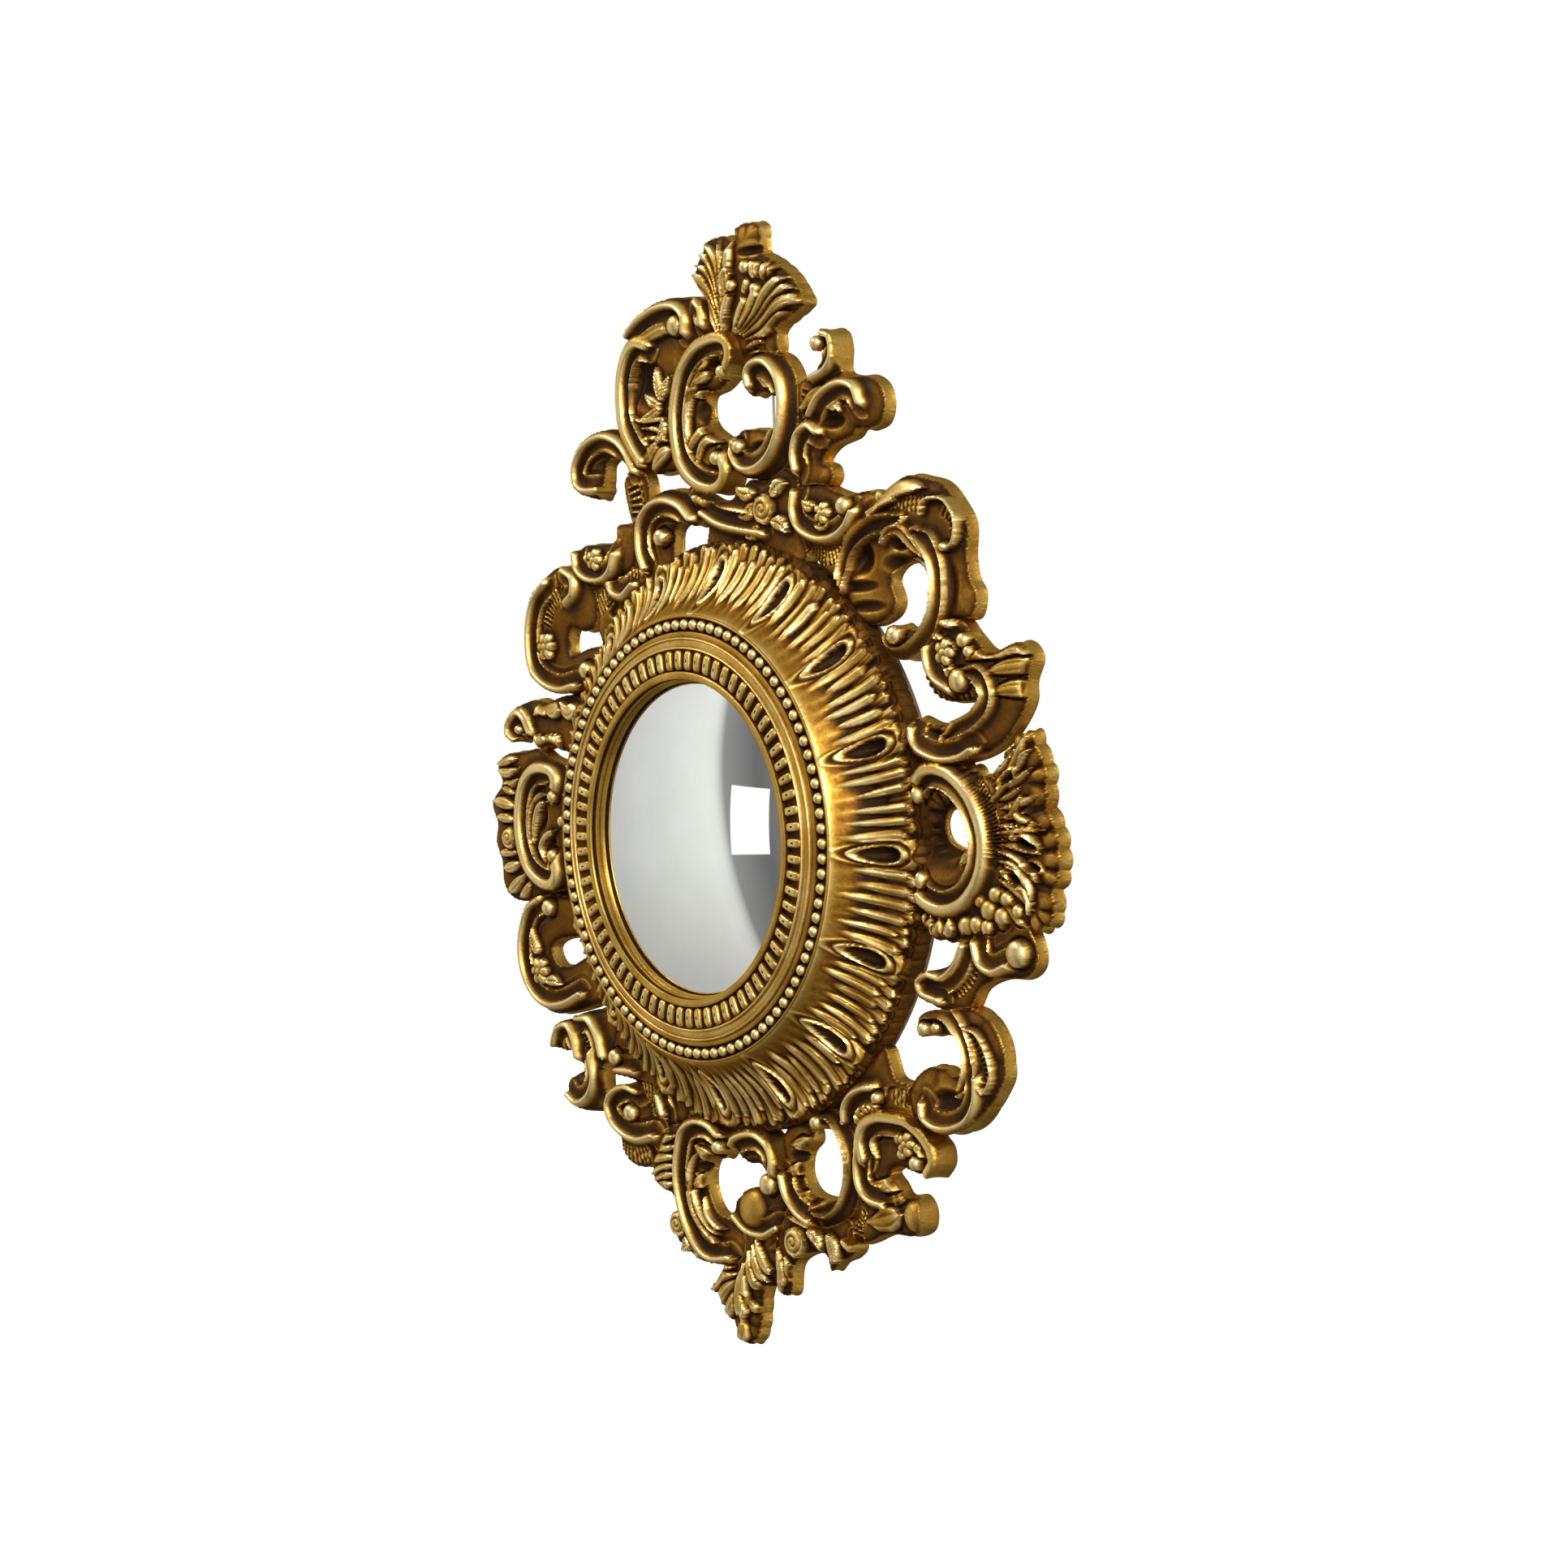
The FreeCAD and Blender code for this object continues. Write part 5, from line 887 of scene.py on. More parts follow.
def casting_mesh(window, free, gap, height, seed):
    """A closed mesh with a relief on top, ribbed side walls and a flat back."""
    u, v = FIELD_U[window], FIELD_V[window]
    rows, columns = u.shape
    solid = gap < 0
    cell = solid[:-1, :-1] & solid[1:, :-1] & solid[:-1, 1:] & solid[1:, 1:]
    index = np.arange(rows * columns).reshape(rows, columns)
    corners = np.stack([index[:-1, :-1], index[:-1, 1:], index[1:, 1:], index[1:, :-1]], axis=2)
    quads = largest_patch(corners[cell], rows * columns)
    used, flat = np.unique(quads, return_inverse=True)
    quads = flat.reshape(-1, 4)
    relief = height - blurred(height, gap < 0.5, 1.6)
    broad = height - blurred(height, gap < 0.5, 4.5)
    depth = np.maximum(-free, 0)
    reach = 1.6
    drop = reach - np.sqrt(np.maximum(reach ** 2 - np.maximum(reach - depth, 0) ** 2, 0))
    top = (height - drop).ravel()[used]
    grade_v, grade_u = np.gradient(gap, STEP)
    slope = np.hypot(grade_u, grade_v) + 1e-6
    out_u = (grade_u / slope).ravel()[used]
    out_v = (grade_v / slope).ravel()[used]
    place_u, place_v = u.ravel()[used].copy(), v.ravel()[used].copy()
    rim, following = border_edges(quads)
    on_border = np.unique(rim)
    shift = np.clip(-gap.ravel()[used][on_border] / slope.ravel()[used][on_border], -0.2, 1.1)
    place_u[on_border] += shift * out_u[on_border]
    place_v[on_border] += shift * out_v[on_border]
    # Per-point tone: lighter on rubbed high points and darker in hollows, partly the patina gilt keeps
    # there and partly painted shade; the lower the relief lies, the darker it is painted, as shade.
    worn = 0.34 + 0.28 * relief + 0.090 * broad + 0.034 * (height - 14)
    worn = np.clip(worn, 0.06, 0.95).ravel()[used]
    worn[on_border] = np.clip(worn[on_border], 0.5, 0.72)
    points = [np.stack([place_u, place_v, top], axis=1)]
    values = [worn]
    faces = [quads]
    count = len(used)
    rank = np.full(count, -1)
    rank[on_border] = np.arange(len(on_border))
    previous_first, previous_second = rim, following
    for level in range(1, WALL_LEVELS + 1):
        share = level / WALL_LEVELS
        spread = 0.9 * share ** 1.5 - 0.5 * math.sin(math.pi * share)
        edge_u = place_u[on_border] + spread * out_u[on_border]
        edge_v = place_v[on_border] + spread * out_v[on_border]
        edge_w = top[on_border] + (BACK - top[on_border]) * share
        base = count + (level - 1) * len(on_border)
        points.append(np.stack([edge_u, edge_v, edge_w], axis=1))
        # Side walls are painted darker towards the back, as shade near the wall.
        values.append(0.66 - 0.20 * share + 0.09 * wander(edge_u, edge_v, 4, seed))
        now_first, now_second = base + rank[rim], base + rank[following]
        faces.append(np.stack([previous_second, previous_first, now_first, now_second], axis=1))
        previous_first, previous_second = now_first, now_second
    base = count + WALL_LEVELS * len(on_border)
    within = np.setdiff1d(np.arange(count), on_border)
    lower = np.zeros(count, dtype=int)
    lower[within] = base + np.arange(len(within))
    lower[on_border] = count + (WALL_LEVELS - 1) * len(on_border) + rank[on_border]
    points.append(np.stack([place_u[within], place_v[within], np.full(len(within), BACK)], axis=1))
    values.append(np.full(len(within), 0.3))
    faces.append(lower[quads][:, ::-1])
    return np.concatenate(points), np.concatenate(faces), np.concatenate(values)


def largest_patch(quads, total):
    """The quads of the largest patch that is joined along edges or at corners."""
    label = np.arange(total)
    while True:
        lowest = label[quads].min(axis=1)
        before = label.copy()
        for corner in range(4):
            np.minimum.at(label, quads[:, corner], lowest)
        if np.array_equal(label, before):
            break
        label = label[label]
    owner = label[quads[:, 0]]
    names, sizes = np.unique(owner, return_counts=True)
    return quads[owner == names[sizes.argmax()]]


def border_edges(quads):
    """First and second ends of the edges that only one quad has."""
    first = quads.ravel()
    second = np.roll(quads, -1, axis=1).ravel()
    key = np.minimum(first, second) * (quads.max() + 1) + np.maximum(first, second)
    _, place, times = np.unique(key, return_index=True, return_counts=True)
    lone = place[times == 1]
    return first[lone], second[lone]


# ------------------------------------------------------------------------------------ materials

def new_material(name):
    """A new material, its node tree and its shader."""
    material = bpy.data.materials.new(name)
    material.use_nodes = True
    tree = material.node_tree
    shader = tree.nodes["Principled BSDF"]
    return material, tree, shader


def link(tree, source, target):
    """Join an output socket to an input socket."""
    tree.links.new(source, target)


def node(tree, kind, **settings):
    """A node with its properties and inputs set by name."""
    made = tree.nodes.new(kind)
    for word, value in settings.items():
        if word in made.inputs:
            made.inputs[word].default_value = value
        else:
            setattr(made, word, value)
    return made


def noise(tree, place, scale, detail=4.0, rough=0.55):
    """A cloudy noise over a place, around 0.5."""
    made = node(tree, "ShaderNodeTexNoise")
    made.inputs["Scale"].default_value = scale
    made.inputs["Detail"].default_value = detail
    made.inputs["Roughness"].default_value = rough
    link(tree, place, made.inputs["Vector"])
    return made.outputs["Fac"]


def ramp(tree, source, stops):
    """A colour ramp of (position, colour) stops."""
    made = node(tree, "ShaderNodeValToRGB")
    band = made.color_ramp
    while len(band.elements) < len(stops):
        band.elements.new(0.5)
    for element, (position, colour) in zip(band.elements, stops):
        element.position = position
        element.color = (*colour, 1)
    link(tree, source, made.inputs["Fac"])
    return made.outputs["Color"]


def grey_ramp(tree, source, stops):
    """A ramp of (position, tone) stops."""
    return ramp(tree, source, [(position, (tone, tone, tone)) for position, tone in stops])


def jitter(tree, source, reach):
    """A noise moved to lie around 0 and made larger or smaller."""
    return maths(tree, "MULTIPLY", maths(tree, "SUBTRACT", source, 0.5), reach)


def mixture(tree, first, share, second, other):
    """One source times its share plus another times its own."""
    return maths(tree, "ADD", maths(tree, "MULTIPLY", first, share),
                 maths(tree, "MULTIPLY", second, other))


def maths(tree, operation, first, second=0.0):
    """A maths node whose ends may be sockets or numbers."""
    made = node(tree, "ShaderNodeMath", operation=operation)
    for socket, value in zip(made.inputs, (first, second)):
        if isinstance(value, (int, float)):
            socket.default_value = value
        else:
            link(tree, value, socket)
    return made.outputs[0]


def blend(tree, share, first, second, kind="MIX"):
    """A colour mix whose ends may be sockets or colours."""
    made = node(tree, "ShaderNodeMix", data_type="RGBA", blend_type=kind)
    for socket, value in ((made.inputs[0], share), (made.inputs[6], first), (made.inputs[7], second)):
        if isinstance(value, (int, float)):
            socket.default_value = value
        elif isinstance(value, tuple):
            socket.default_value = (*value, 1)
        else:
            link(tree, value, socket)
    return made.outputs[2]


def bump(tree, shader, source, strength, distance):
    """Small dents and grain in a surface's shading."""
    made = node(tree, "ShaderNodeBump", Strength=strength, Distance=distance)
    link(tree, source, made.inputs["Height"])
    link(tree, made.outputs["Normal"], shader.inputs["Normal"])


def surface_place(tree):
    """The point on the surface in the piece's own metres."""
    return node(tree, "ShaderNodeTexCoord").outputs["Object"]


def gilt_material():
    """Antique gold leaf: pale where rubbed, amber and brown in hollows, with a mottled patina, and near
    black where the per-point tone paints shade.
    """
    material, tree, shader = new_material("antique_gilt")
    place = surface_place(tree)
    # The per-point tone holds rubbed wear and hollow patina together with painted shade.
    worn = node(tree, "ShaderNodeAttribute", attribute_name="worn").outputs["Fac"]
    cloud = noise(tree, place, 55, 5)
    grain = noise(tree, place, 420, 6, 0.65)
    speck = noise(tree, place, 900, 3, 0.7)
    shifted = maths(tree, "ADD", worn, jitter(tree, cloud, 0.34))
    shifted = maths(tree, "ADD", shifted, jitter(tree, grain, 0.22))
    colour = ramp(tree, shifted, [(0.06, (0.020, 0.008, 0.002)), (0.22, (0.085, 0.033, 0.006)),
                                  (0.36, (0.210, 0.085, 0.009)), (0.50, (0.415, 0.225, 0.033)),
                                  (0.68, (0.615, 0.390, 0.090)), (0.90, (0.890, 0.690, 0.325))])
    dark = grey_ramp(tree, speck, [(0.60, 0), (0.72, 0.75)])
    colour = blend(tree, dark, colour, (0.085, 0.042, 0.013))
    link(tree, colour, shader.inputs["Base Color"])
    shader.inputs["Specular Tint"].default_value = (1.0, 0.80, 0.50, 1)
    rough = grey_ramp(tree, shifted, [(0.2, 0.62), (0.55, 0.40), (0.9, 0.30)])
    link(tree, rough, shader.inputs["Roughness"])
    metal = grey_ramp(tree, shifted, [(0.10, 0.70), (0.40, 0.92), (0.6, 1)])
    link(tree, metal, shader.inputs["Metallic"])
    bump(tree, shader, mixture(tree, cloud, 0.6, grain, 0.5), 0.55, 0.0009)
    return material


def mirror_material():
    """Silvered glass with a faint unevenness of its silvering."""
    material, tree, shader = new_material("silvered_glass")
    place = surface_place(tree)
    haze = noise(tree, place, 30, 3)
    colour = ramp(tree, haze, [(0.3, (0.80, 0.815, 0.79)), (0.7, (0.86, 0.87, 0.85))])
    link(tree, colour, shader.inputs["Base Color"])
    rough = grey_ramp(tree, haze, [(0.3, 0.012), (0.7, 0.03)])
    link(tree, rough, shader.inputs["Roughness"])
    shader.inputs["Metallic"].default_value = 1.0
    return material


def grained_material(name, stops, scale, stretch, rough, depth, metallic=0.0):
    """A material with a stretched grain, for wood, board, felt and bare metal."""
    material, tree, shader = new_material(name)
    place = surface_place(tree)
    mapping = node(tree, "ShaderNodeMapping")
    mapping.inputs["Scale"].default_value = stretch
    link(tree, place, mapping.inputs["Vector"])
    grain = noise(tree, mapping.outputs["Vector"], scale, 7, 0.6)
    cloud = noise(tree, place, scale * 0.12, 3)
    mixed = mixture(tree, grain, 0.7, cloud, 0.3)
    link(tree, ramp(tree, mixed, stops), shader.inputs["Base Color"])
    low, high = rough
    link(tree, grey_ramp(tree, grain, [(0.3, low), (0.7, high)]), shader.inputs["Roughness"])
    shader.inputs["Metallic"].default_value = metallic
    bump(tree, shader, grain, 0.5, depth)
    return material


GILT = gilt_material()
MIRROR = mirror_material()
WOOD = grained_material(
    "stained_softwood",
    [(0.30, (0.10, 0.050, 0.022)), (0.50, (0.20, 0.115, 0.055)), (0.72, (0.33, 0.21, 0.11))],
    scale=90, stretch=(1.0, 1.0, 0.12), rough=(0.55, 0.75), depth=0.0006)
BOARD = grained_material(
    "hardboard", [(0.30, (0.16, 0.095, 0.048)), (0.52, (0.24, 0.15, 0.08)), (0.74, (0.32, 0.21, 0.12))],
    scale=380, stretch=(1.0, 1.0, 0.6), rough=(0.72, 0.9), depth=0.0003)
FELT = grained_material(
    "black_felt", [(0.3, (0.010, 0.010, 0.010)), (0.7, (0.035, 0.033, 0.032))],
    scale=1400, stretch=(1.0, 1.0, 1.0), rough=(0.9, 1.0), depth=0.0004)
BRASS = grained_material(
    "dull_brass", [(0.3, (0.36, 0.23, 0.075)), (0.55, (0.58, 0.40, 0.145)), (0.75, (0.72, 0.53, 0.22))],
    scale=260, stretch=(1.0, 1.0, 0.3), rough=(0.26, 0.48), depth=0.0002, metallic=1.0)
STEEL = grained_material(
    "zinc_steel", [(0.3, (0.34, 0.34, 0.335)), (0.55, (0.52, 0.52, 0.51)), (0.75, (0.66, 0.66, 0.65))],
    scale=300, stretch=(1.0, 1.0, 0.25), rough=(0.22, 0.42), depth=0.0002, metallic=1.0)


# ------------------------------------------------------------------------------------ pieces

def build_castings():
    """Every applied casting, in the order in which they share space."""
    far_off = 1e3
    taken = np.full(FIELD_U.shape, far_off)
    for seed, (name, drawing) in enumerate(CASTINGS.items(), start=1):
        fields = casting_fields(drawing, taken, seed)
        points, faces, worn = casting_mesh(*fields, seed)
        make_piece(name + "_relief", points, faces, GILT, "gilt", [name], worn=worn)


def flame_strokes():
    """Tongues of the flame border: angle, inner and outer radius, half width, rise and drift."""
    draw = np.random.default_rng(7)
    low, high = [], []
    for motif in range(MOTIFS):
        middle = math.radians(FIRST_MOTIF + 360 / MOTIFS * motif)
        for index in range(6):
            angle = middle + math.radians((index + 0.5) * 3.0 - 9.0 + (2.25 if index > 2 else -2.25)
                                          + draw.uniform(-0.35, 0.35))
            low.append((angle + math.radians(1.4), draw.uniform(139, 147), draw.uniform(163, 168.5),
                        draw.uniform(2.6, 3.6), draw.uniform(1.2, 2.0), draw.uniform(-1.6, 1.6)))
            high.append((angle, draw.uniform(127.5, 135), draw.uniform(156, 166),
                         draw.uniform(2.7, 3.9), draw.uniform(2.6, 3.9), draw.uniform(-1.8, 1.8)))
        high.append((middle, 127.0, 168.0, 8.2, 2.4, 0.5))
    return low + high


def border_tongues(radius, angle, cove, sunk):
    """The height of the border's tongues over its cove, which sinks a little outwards."""
    top = cove - 1.9 * sunk
    for place, near, far, half, rise, drift in flame_strokes():
        along_share = (radius - near) / (far - near)
        swing = drift * np.sin(2.6 * along_share) * np.clip(along_share, 0, 1) / 150
        turn = (angle - place - swing + np.pi) % (2 * np.pi) - np.pi
        aside = turn * radius
        inside_share = np.clip(along_share, 0, 1)
        width = half * (0.18 + 0.86 * np.sin(np.pi * inside_share ** 0.9 * 0.62) ** 0.8)
        width = width * (1 - 0.7 * ease((inside_share - 0.86) / 0.14))
        across = np.abs(aside) / width
        groove = 0.55 * hill(across, 0.40, 0.14) + 0.25 * hill(across, 0.78, 0.10)
        tongue = (cove - 2.2 * sunk + rise * ease(inside_share / 0.30) * dome(across)
                  + 1.5 * sunk * ease(inside_share / 0.5) - groove * sunk)
        held = (across < 1) & (along_share > 0) & (along_share < 1)
        top = np.where(held, np.maximum(top, tongue), top)
    return top


def oval_share(radius, angle):
    """How far out of the nearest oval a point is, 1 on its edge."""
    motif = 2 * np.pi / MOTIFS
    local = (angle - math.radians(FIRST_MOTIF) + motif / 2) % motif - motif / 2
    ahead = radius - OVAL_RADIUS
    return np.hypot(ahead / 10.2, local * radius / (4.1 + 0.06 * ahead))


def build_border():
    """The flame border: a plain cove that breaks into wavy tongues round sixteen deep ovals."""
    columns, rows = 1536, 56
    angle = np.linspace(0, 2 * np.pi, columns, endpoint=False)[None, :]
    share = np.linspace(0, 1, rows)[:, None]
    uneven = wander(angle * 40, 0 * angle, 3.0, 5)
    lobe_phase = angle / (2 * np.pi) * BORDER_LOBES + 0.4 * uneven
    tip = 163.2 + 1.6 * uneven + 2.6 * lobes(lobe_phase)
    radius = BEZEL_RADIUS + (tip - BEZEL_RADIUS) * share
    cove = 17.0 + 27.6 * (1 - (radius - BEZEL_RADIUS) / 42).clip(0, 1) ** 2.1
    top = border_tongues(radius, angle, cove, ease((radius - 131) / 14))
    oval = oval_share(radius, angle)
    top = top + 1.5 * hill(oval, 1.26, 0.17) + 0.9 * hill(oval, 1.85, 0.18)
    top = top - 0.9 * hill(oval, 1.55, 0.15) - 8.0 * np.clip(1 - oval, 0, 1) ** 0.45
    top = np.minimum(top, 44.8 - (radius - BEZEL_RADIUS) * 0.50)
    spread = np.concatenate([top] * 3, axis=1)
    fine = top - smeared(spread, 4, 2)[:, columns:2 * columns]
    broad = top - smeared(spread, 14, 4)[:, columns:2 * columns]
    # Per-point tone: lighter on tongue tops and darker in grooves, partly patina and partly painted
    # shade; inside the deep ovals it is near black, painted shade.
    worn = 0.45 + 0.31 * fine + 0.080 * broad
    worn = np.where(oval < 0.97, 0.05, np.clip(worn, 0.06, 0.92))
    flute = lobes(lobe_phase) + 0.5 * lobes(angle / np.pi * BORDER_LOBES + uneven)
    edge = top[-1:]
    # Rings of radius, height and tone: under the tips, down the fluted wall and back underneath, their
    # low tones painted shade.
    wall = [(tip + 0.25, edge - 1.1, 0.5), (tip - 0.5, edge - 2.6, 0.3),
            (166.3 + 0.9 * flute, 13.5, 0.24), (166.4 + 1.1 * flute, 10.5, 0.26),
            (166.3 + 1.2 * flute, 7.0, 0.22), (166.2 + 0.8 * flute, 3.2, 0.2), (160.0, 3.2, 0.2),
            (160.0, 12.5, 0.2), (152.0, 12.0, 0.2), (138.0, 18.2, 0.2), (BEZEL_RADIUS, 35.0, 0.2)]
    rings = [ring_points(radius, angle, top)]
    values = [worn]
    for reach, level, tone in wall:
        rings.append(ring_points(reach, angle, level))
        values.append(tone + 0.05 * uneven)
    points = np.concatenate(rings).reshape(-1, 3)
    make_piece("flame_border_relief", points, loop_faces(rows + len(wall), columns), GILT, "gilt",
               ["flame_border"], worn=np.concatenate(values).ravel())


def smeared(field, across, down):
    """A box blur of a field over some columns and rows, run twice."""
    for _ in range(2):
        for axis, reach in ((1, across), (0, down)):
            margins = [(reach, reach) if axis == row else (0, 0) for row in (0, 1)]
            padded = np.pad(field, margins, mode="edge")
            sums = np.cumsum(padded, axis=axis)
            sums = np.concatenate([np.zeros_like(np.take(sums, [0], axis)), sums], axis)
            size = field.shape[axis]
            high = np.take(sums, np.arange(2 * reach + 1, 2 * reach + 1 + size), axis)
            low = np.take(sums, np.arange(size), axis)
            field = (high - low) / (2 * reach + 1)
    return field


def rounded(profile):
    """A section of straight runs and half-round beads, as (radius, height) or a bead's two ends."""
    points = []
    for item in profile:
        if len(item) == 2:
            points.append(item)
            continue
        first, last, low, rise = item
        for turn in np.linspace(0, math.pi, 9):
            points.append(((first + last) / 2 - (last - first) / 2 * math.cos(turn),
                           low + rise * math.sin(turn)))
    return points


def build_bezel():
    """The turned bezel with its lip, tracks and fine beads."""
    section = rounded([
        (90.0, 43.25), (89.6, 44.2), (89.6, 46.0), (90.2, 46.6), (90.9, 47.2), (90.9, 48.2),
        (90.1, 48.7), (90.0, 49.3), (90.3, 49.9), (91.0, 50.15), (92.4, 50.2),
        (93.6, 50.15), (94.15, 49.7), (94.2, 48.5), (94.2, 46.92), (100.0, 46.92), (106.6, 46.92),
        (106.6, 48.2), (106.7, 108.1, 48.6, 0.95), (108.3, 48.0), (110.0, 48.2), (111.8, 47.6),
        (111.9, 113.4, 47.4, 1.1), (113.6, 46.6), (115.0, 46.9), (116.4, 46.2), (116.6, 44.0),
        (116.6, 42.42), (120.0, 42.42), (124.2, 42.42), (124.2, 44.2), (124.3, 126.0, 44.6, 1.0),
        (126.0, 42.0), (126.0, 38.0), (126.0, 35.02), (95.02, 35.02), (95.02, 43.25)])
    columns = 512
    points, faces = turned(section, columns)
    heights = np.array([height for _, height in section])
    radii = np.array([radius for radius, _ in section])
    # Per-point tone: darker the lower a face lies under the bezel's sloping surface, partly patina and
    # partly painted shade; the groove in the lip's inner wall is painted near black as shade.
    surface = 50.2 - 4.6 * np.clip((radii - 92) / (BEZEL_RADIUS - 92), 0, 1)
    worn = np.clip(0.60 + 0.20 * (heights - surface), 0.12, 0.9)
    worn[radii < 90.7] = 0.56
    in_lip_groove = (radii > 90.05) & (radii < 91.0) & (heights < 48.5) & (heights > 46.4)
    worn[in_lip_groove] = 0.04
    angle = np.arctan2(points[:, 1], points[:, 0])
    worn = np.repeat(worn, columns) + 0.08 * wander(angle * 60, points[:, 2], 4, 3)
    make_piece("sight_bezel_turned", points, faces[:, ::-1], GILT, "gilt", ["sight_bezel"],
               worn=np.clip(worn, 0, 1), sharp=42)


def build_glass():
    """The convex glass as a smooth dome with a ground edge."""
    edge, rise, thickness = 94.0, 13.0, 3.0
    sphere = (edge ** 2 + rise ** 2) / (2 * rise)
    centre = GLASS_SEAT - math.sqrt(sphere ** 2 - SIGHT_RADIUS ** 2)
    radii = np.concatenate([[0.02], np.linspace(1, edge, 60)])
    front = [(radius, centre + math.sqrt(sphere ** 2 - radius ** 2)) for radius in radii]
    back = [(radius, centre + math.sqrt((sphere - thickness) ** 2 - radius ** 2))
            for radius in radii[::-1]]
    points, faces = turned(front + back, 256)
    make_piece("mirror_glass_dome", points, faces, MIRROR, "mirror", ["convex_mirror_glass"],
               sharp=60)


def repeat_round(points, faces, copies):
    """Copies of a small piece set at equal angles about the axis."""
    all_points, all_faces = [], []
    for index in range(copies):
        turn = 2 * math.pi * index / copies
        cosine, sine = math.cos(turn), math.sin(turn)
        all_points.append(np.stack([points[:, 0] * cosine - points[:, 1] * sine,
                                    points[:, 0] * sine + points[:, 1] * cosine, points[:, 2]],
                                   axis=1))
        all_faces.append(faces + index * len(points))
    return np.concatenate(all_points), np.concatenate(all_faces)


def ball_mesh(radius, rows, columns, low):
    """A ball from its pole down to a cut at a height under its middle."""
    turns = np.linspace(0.02, math.pi / 2 + math.asin(low / radius), rows)
    angle = np.linspace(0, 2 * np.pi, columns, endpoint=False)
    points = ring_points(radius * np.sin(turns)[:, None], angle, radius * np.cos(turns)[:, None])
    return points.reshape(-1, 3), loop_faces(rows, columns)


def build_pearls():
    """The row of pearls, each a ball that sinks a little into its track."""
    track, middle = 43.0, 44.5
    points, faces = ball_mesh(PEARL_RADIUS, 16, 22, 1.9)
    points[:, 0] += PEARL_PLACE
    points[:, 2] += middle
    # Each pearl is painted darker towards its foot in the track, as shade, and lighter towards its top.
    worn = 0.30 + 0.16 * (points[:, 2] - track)
    points, faces = repeat_round(points, faces, PEARLS)
    uneven = 0.06 * wander(points[:, 0], points[:, 1], 3, 9)
    make_piece("pearl_row", points, faces, GILT, "gilt", ["pearl_strip"],
               worn=np.clip(np.tile(worn, PEARLS) + uneven, 0.05, 0.92))


def build_blocks():
    """The row of round-topped blocks, each a cushion that lies along a radius."""
    rows, columns = 13, 28
    track, rise = 47.0, 3.2
    half_length, half_width = 6.0, 2.75
    turns = np.linspace(0.03, math.pi / 2, rows)
    angle = np.linspace(0, 2 * np.pi, columns, endpoint=False)
    ahead = np.abs(np.cos(angle)) ** 0.45 * np.sign(np.cos(angle))
    across = np.abs(np.sin(angle)) ** 0.55 * np.sign(np.sin(angle))
    width = np.sin(turns)[:, None] ** 0.5
    top = track + rise * np.cos(turns)[:, None] ** 0.8 + 0 * angle
    points = np.stack([BLOCK_PLACE + half_length * width * ahead, half_width * width * across, top],
                      axis=2).reshape(-1, 3)
    faces = loop_faces(rows, columns)
    # Each block is painted darker towards its foot on the track, as shade, and lighter towards its top.
    worn = 0.20 + 0.19 * (points[:, 2] - track)
    points, faces = repeat_round(points, faces, BLOCKS)
    uneven = 0.08 * wander(points[:, 0], points[:, 1], 3, 11)
    make_piece("block_row", points, faces, GILT, "gilt", ["block_strip"],
               worn=np.clip(np.tile(worn, BLOCKS) + uneven, 0.04, 0.92))


def dress_kept_nodes():
    """Materials of the CAD nodes that stay as they are."""
    kept = {"turned_ground": WOOD, "backing_board": BOARD, "spacer_hoop": BOARD,
            "glass_gasket": FELT, "button_screws": STEEL, "hanging_bail": STEEL,
            "bail_eyes": BRASS, "bail_eye_screws": STEEL}
    for index in range(1, 5):
        kept[f"turn_button_{index}"] = BRASS
    for name, material in kept.items():
        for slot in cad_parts[name].material_slots:
            slot.material = material


# ------------------------------------------------------------------------------------ studio

def build_camera():
    """The photograph's camera: its place, its roll and its slight shift."""
    azimuth, rise, roll = math.radians(52.751), math.radians(2.599), math.radians(-1.689)
    distance, sensor = 2.0, 36
    frame_pixels, focal_pixels, shift_right, shift_up = 1932, 4329.2, 38.59, 63.11
    back = Vector((math.sin(azimuth) * math.cos(rise), -math.cos(azimuth) * math.cos(rise),
                   math.sin(rise)))
    right = Vector((math.cos(azimuth), math.sin(azimuth), 0))
    up = back.cross(right)
    turned_right = right * math.cos(roll) + up * math.sin(roll)
    turned_up = up * math.cos(roll) - right * math.sin(roll)
    data = bpy.data.cameras.new("photo_camera")
    data.sensor_width = sensor
    data.lens = sensor * focal_pixels / frame_pixels
    data.shift_x = shift_right / frame_pixels
    data.shift_y = shift_up / frame_pixels
    data.clip_end = 50
    camera = add_object("photo_camera", data)
    matrix = Matrix((turned_right, turned_up, back)).transposed().to_4x4()
    matrix.translation = back * distance
    camera.matrix_world = matrix
    bpy.context.scene.camera = camera


def add_lamp(name, place, size, power, colour):
    """A soft square lamp that faces the object."""
    data = bpy.data.lights.new(name, "AREA")
    data.shape = "RECTANGLE"
    data.size, data.size_y = size
    data.energy = power
    data.color = colour
    lamp = add_object(name, data)
    lamp.location = place
    lamp.rotation_euler = (-Vector(place)).to_track_quat("-Z", "Y").to_euler()


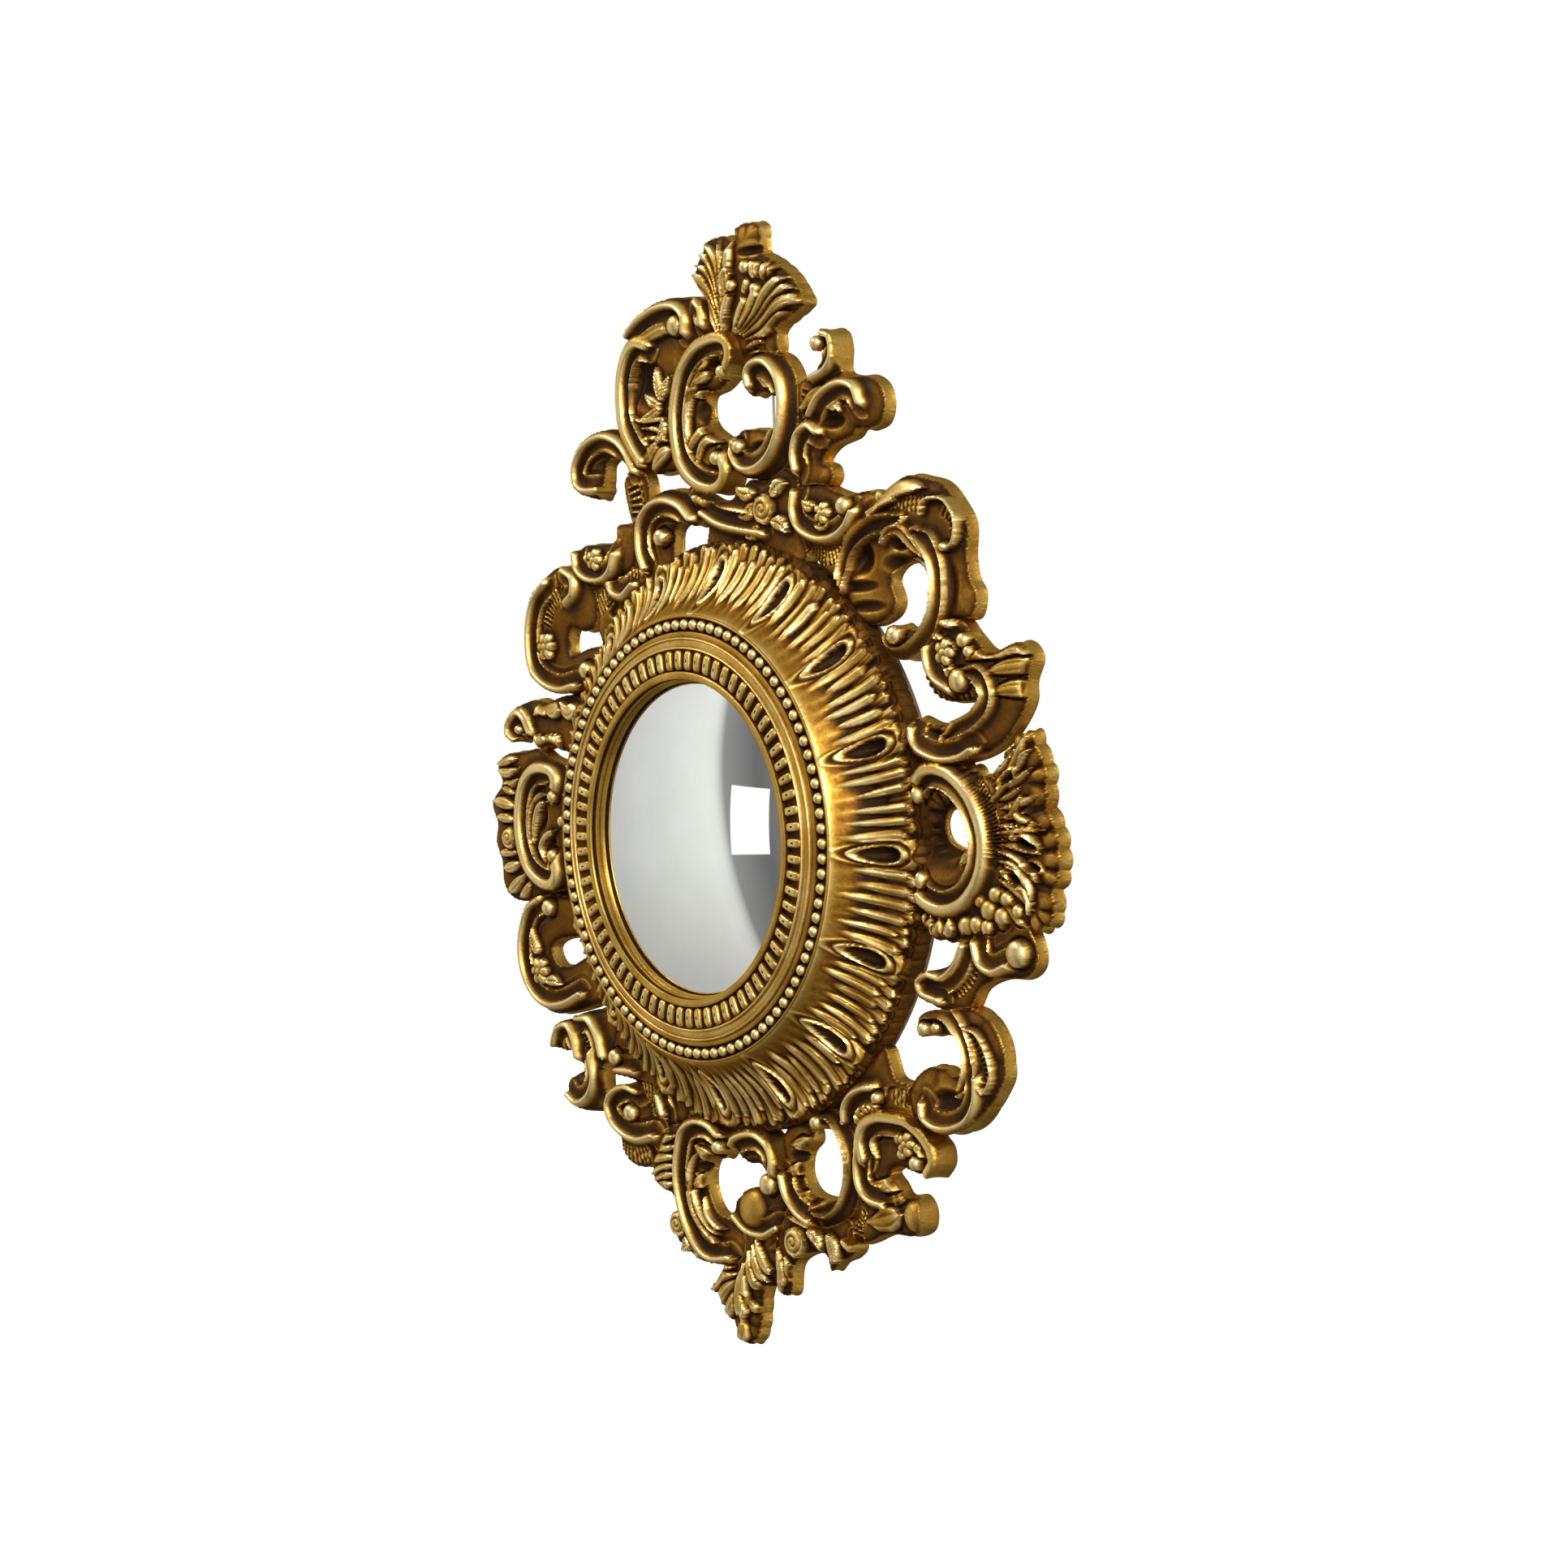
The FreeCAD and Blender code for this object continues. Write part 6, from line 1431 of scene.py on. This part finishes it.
def build_room():
    """A room that is white to the camera, and grey with one pale pane to the metal and the glass."""
    world = bpy.data.worlds.new("studio")
    bpy.context.scene.world = world
    world.use_nodes = True
    tree = world.node_tree
    tree.nodes.clear()
    place = node(tree, "ShaderNodeTexCoord").outputs["Generated"]
    parts = node(tree, "ShaderNodeSeparateXYZ")
    link(tree, place, parts.inputs[0])
    forward = maths(tree, "MULTIPLY", parts.outputs["Y"], -1.0)
    heading = maths(tree, "ARCTAN2", parts.outputs["X"], forward)
    climb = maths(tree, "ARCSINE", parts.outputs["Z"])
    slanted = maths(tree, "ADD", heading, maths(tree, "MULTIPLY", climb, 0.25))
    around = maths(tree, "ADD", maths(tree, "DIVIDE", slanted, 2 * math.pi), 0.5)
    # The room's tone all round, with 0.5 straight out from the wall and 0.75 to the right.
    stops = [(0.0, 0.42), (0.20, 0.50), (0.289, 0.64), (0.350, 0.84), (0.380, 0.97), (0.3885, 0.90),
             (0.3945, 0.34), (0.420, 0.17), (0.455, 0.30), (0.500, 0.66), (0.560, 0.95), (0.700, 1.10),
             (0.850, 0.80), (1.0, 0.42)]
    room = ramp(tree, around, [(position, (tone, tone, tone * 0.975)) for position, tone in stops])
    lift = ramp(tree, maths(tree, "ADD", maths(tree, "MULTIPLY", parts.outputs["Z"], 0.5), 0.5),
                [(0.0, (0.30, 0.29, 0.27)), (0.32, (0.72, 0.71, 0.69)), (0.46, (1, 1, 1)),
                 (0.62, (1, 1, 1)), (1.0, (0.75, 0.76, 0.78))])
    room = blend(tree, 1.0, room, lift, "MULTIPLY")
    pane, half_pane = 1.0, 0.088
    for middle, source in ((-0.561, heading), (0.008, climb)):
        offset = maths(tree, "ABSOLUTE", maths(tree, "SUBTRACT", source, middle))
        pane = maths(tree, "MULTIPLY", maths(tree, "LESS_THAN", offset, half_pane), pane)
    room = blend(tree, pane, room, (1.25, 1.25, 1.22))
    rays = node(tree, "ShaderNodeLightPath")
    seen = blend(tree, rays.outputs["Is Camera Ray"], room, (1.0, 1.0, 1.0))
    backdrop = node(tree, "ShaderNodeBackground", Strength=1.0)
    link(tree, seen, backdrop.inputs["Color"])
    ambient = node(tree, "ShaderNodeBackground", Strength=0.55)
    link(tree, room, ambient.inputs["Color"])
    shown = maths(tree, "MAXIMUM", rays.outputs["Is Camera Ray"],
                  maths(tree, "MAXIMUM", rays.outputs["Is Glossy Ray"],
                        rays.outputs["Is Transmission Ray"]))
    mixed = node(tree, "ShaderNodeMixShader")
    link(tree, shown, mixed.inputs[0])
    link(tree, ambient.outputs[0], mixed.inputs[1])
    link(tree, backdrop.outputs[0], mixed.inputs[2])
    output = node(tree, "ShaderNodeOutputWorld")
    link(tree, mixed.outputs[0], output.inputs["Surface"])


def build_floor():
    """A plain pale floor that keeps its shadow and that the metal doesn't reflect."""
    half, level, brightness = 6, -0.75, 0.88
    material, tree, shader = new_material("pale_floor")
    rays = node(tree, "ShaderNodeLightPath")
    place = surface_place(tree)
    mottle = noise(tree, place, 3, 2)
    tone = ramp(tree, mottle, [(0.3, (0.78, 0.78, 0.77)), (0.7, (0.82, 0.82, 0.81))])
    link(tree, tone, shader.inputs["Base Color"])
    shader.inputs["Roughness"].default_value = 0.9
    glow = node(tree, "ShaderNodeEmission")
    seen = maths(tree, "MULTIPLY", rays.outputs["Is Camera Ray"], brightness)
    link(tree, seen, glow.inputs["Strength"])
    total = node(tree, "ShaderNodeAddShader")
    link(tree, shader.outputs[0], total.inputs[0])
    link(tree, glow.outputs[0], total.inputs[1])
    clear = node(tree, "ShaderNodeBsdfTransparent")
    mixed = node(tree, "ShaderNodeMixShader")
    link(tree, rays.outputs["Is Glossy Ray"], mixed.inputs[0])
    link(tree, total.outputs[0], mixed.inputs[1])
    link(tree, clear.outputs[0], mixed.inputs[2])
    link(tree, mixed.outputs[0], tree.nodes["Material Output"].inputs["Surface"])
    mesh = bpy.data.meshes.new("floor")
    corners = [(-half, -half, level), (half, -half, level), (half, half, level), (-half, half, level)]
    mesh.from_pydata(corners, [], [(0, 1, 2, 3)])
    mesh.materials.append(material)
    add_object("floor", mesh)


def build_studio():
    """The room, the floor and two soft lamps."""
    build_room()
    build_floor()
    add_lamp("key", (-1.15, -1.55, 1.75), (0.8, 0.8), 18, (1.0, 0.98, 0.95))
    add_lamp("fill", (1.9, -1.1, 1.0), (0.6, 0.9), 38, (1.0, 0.99, 0.97))
    bpy.context.scene.view_settings.view_transform = "Standard"


build_camera()
build_studio()
build_glass()
build_bezel()
build_pearls()
build_blocks()
build_border()
build_castings()
dress_kept_nodes()
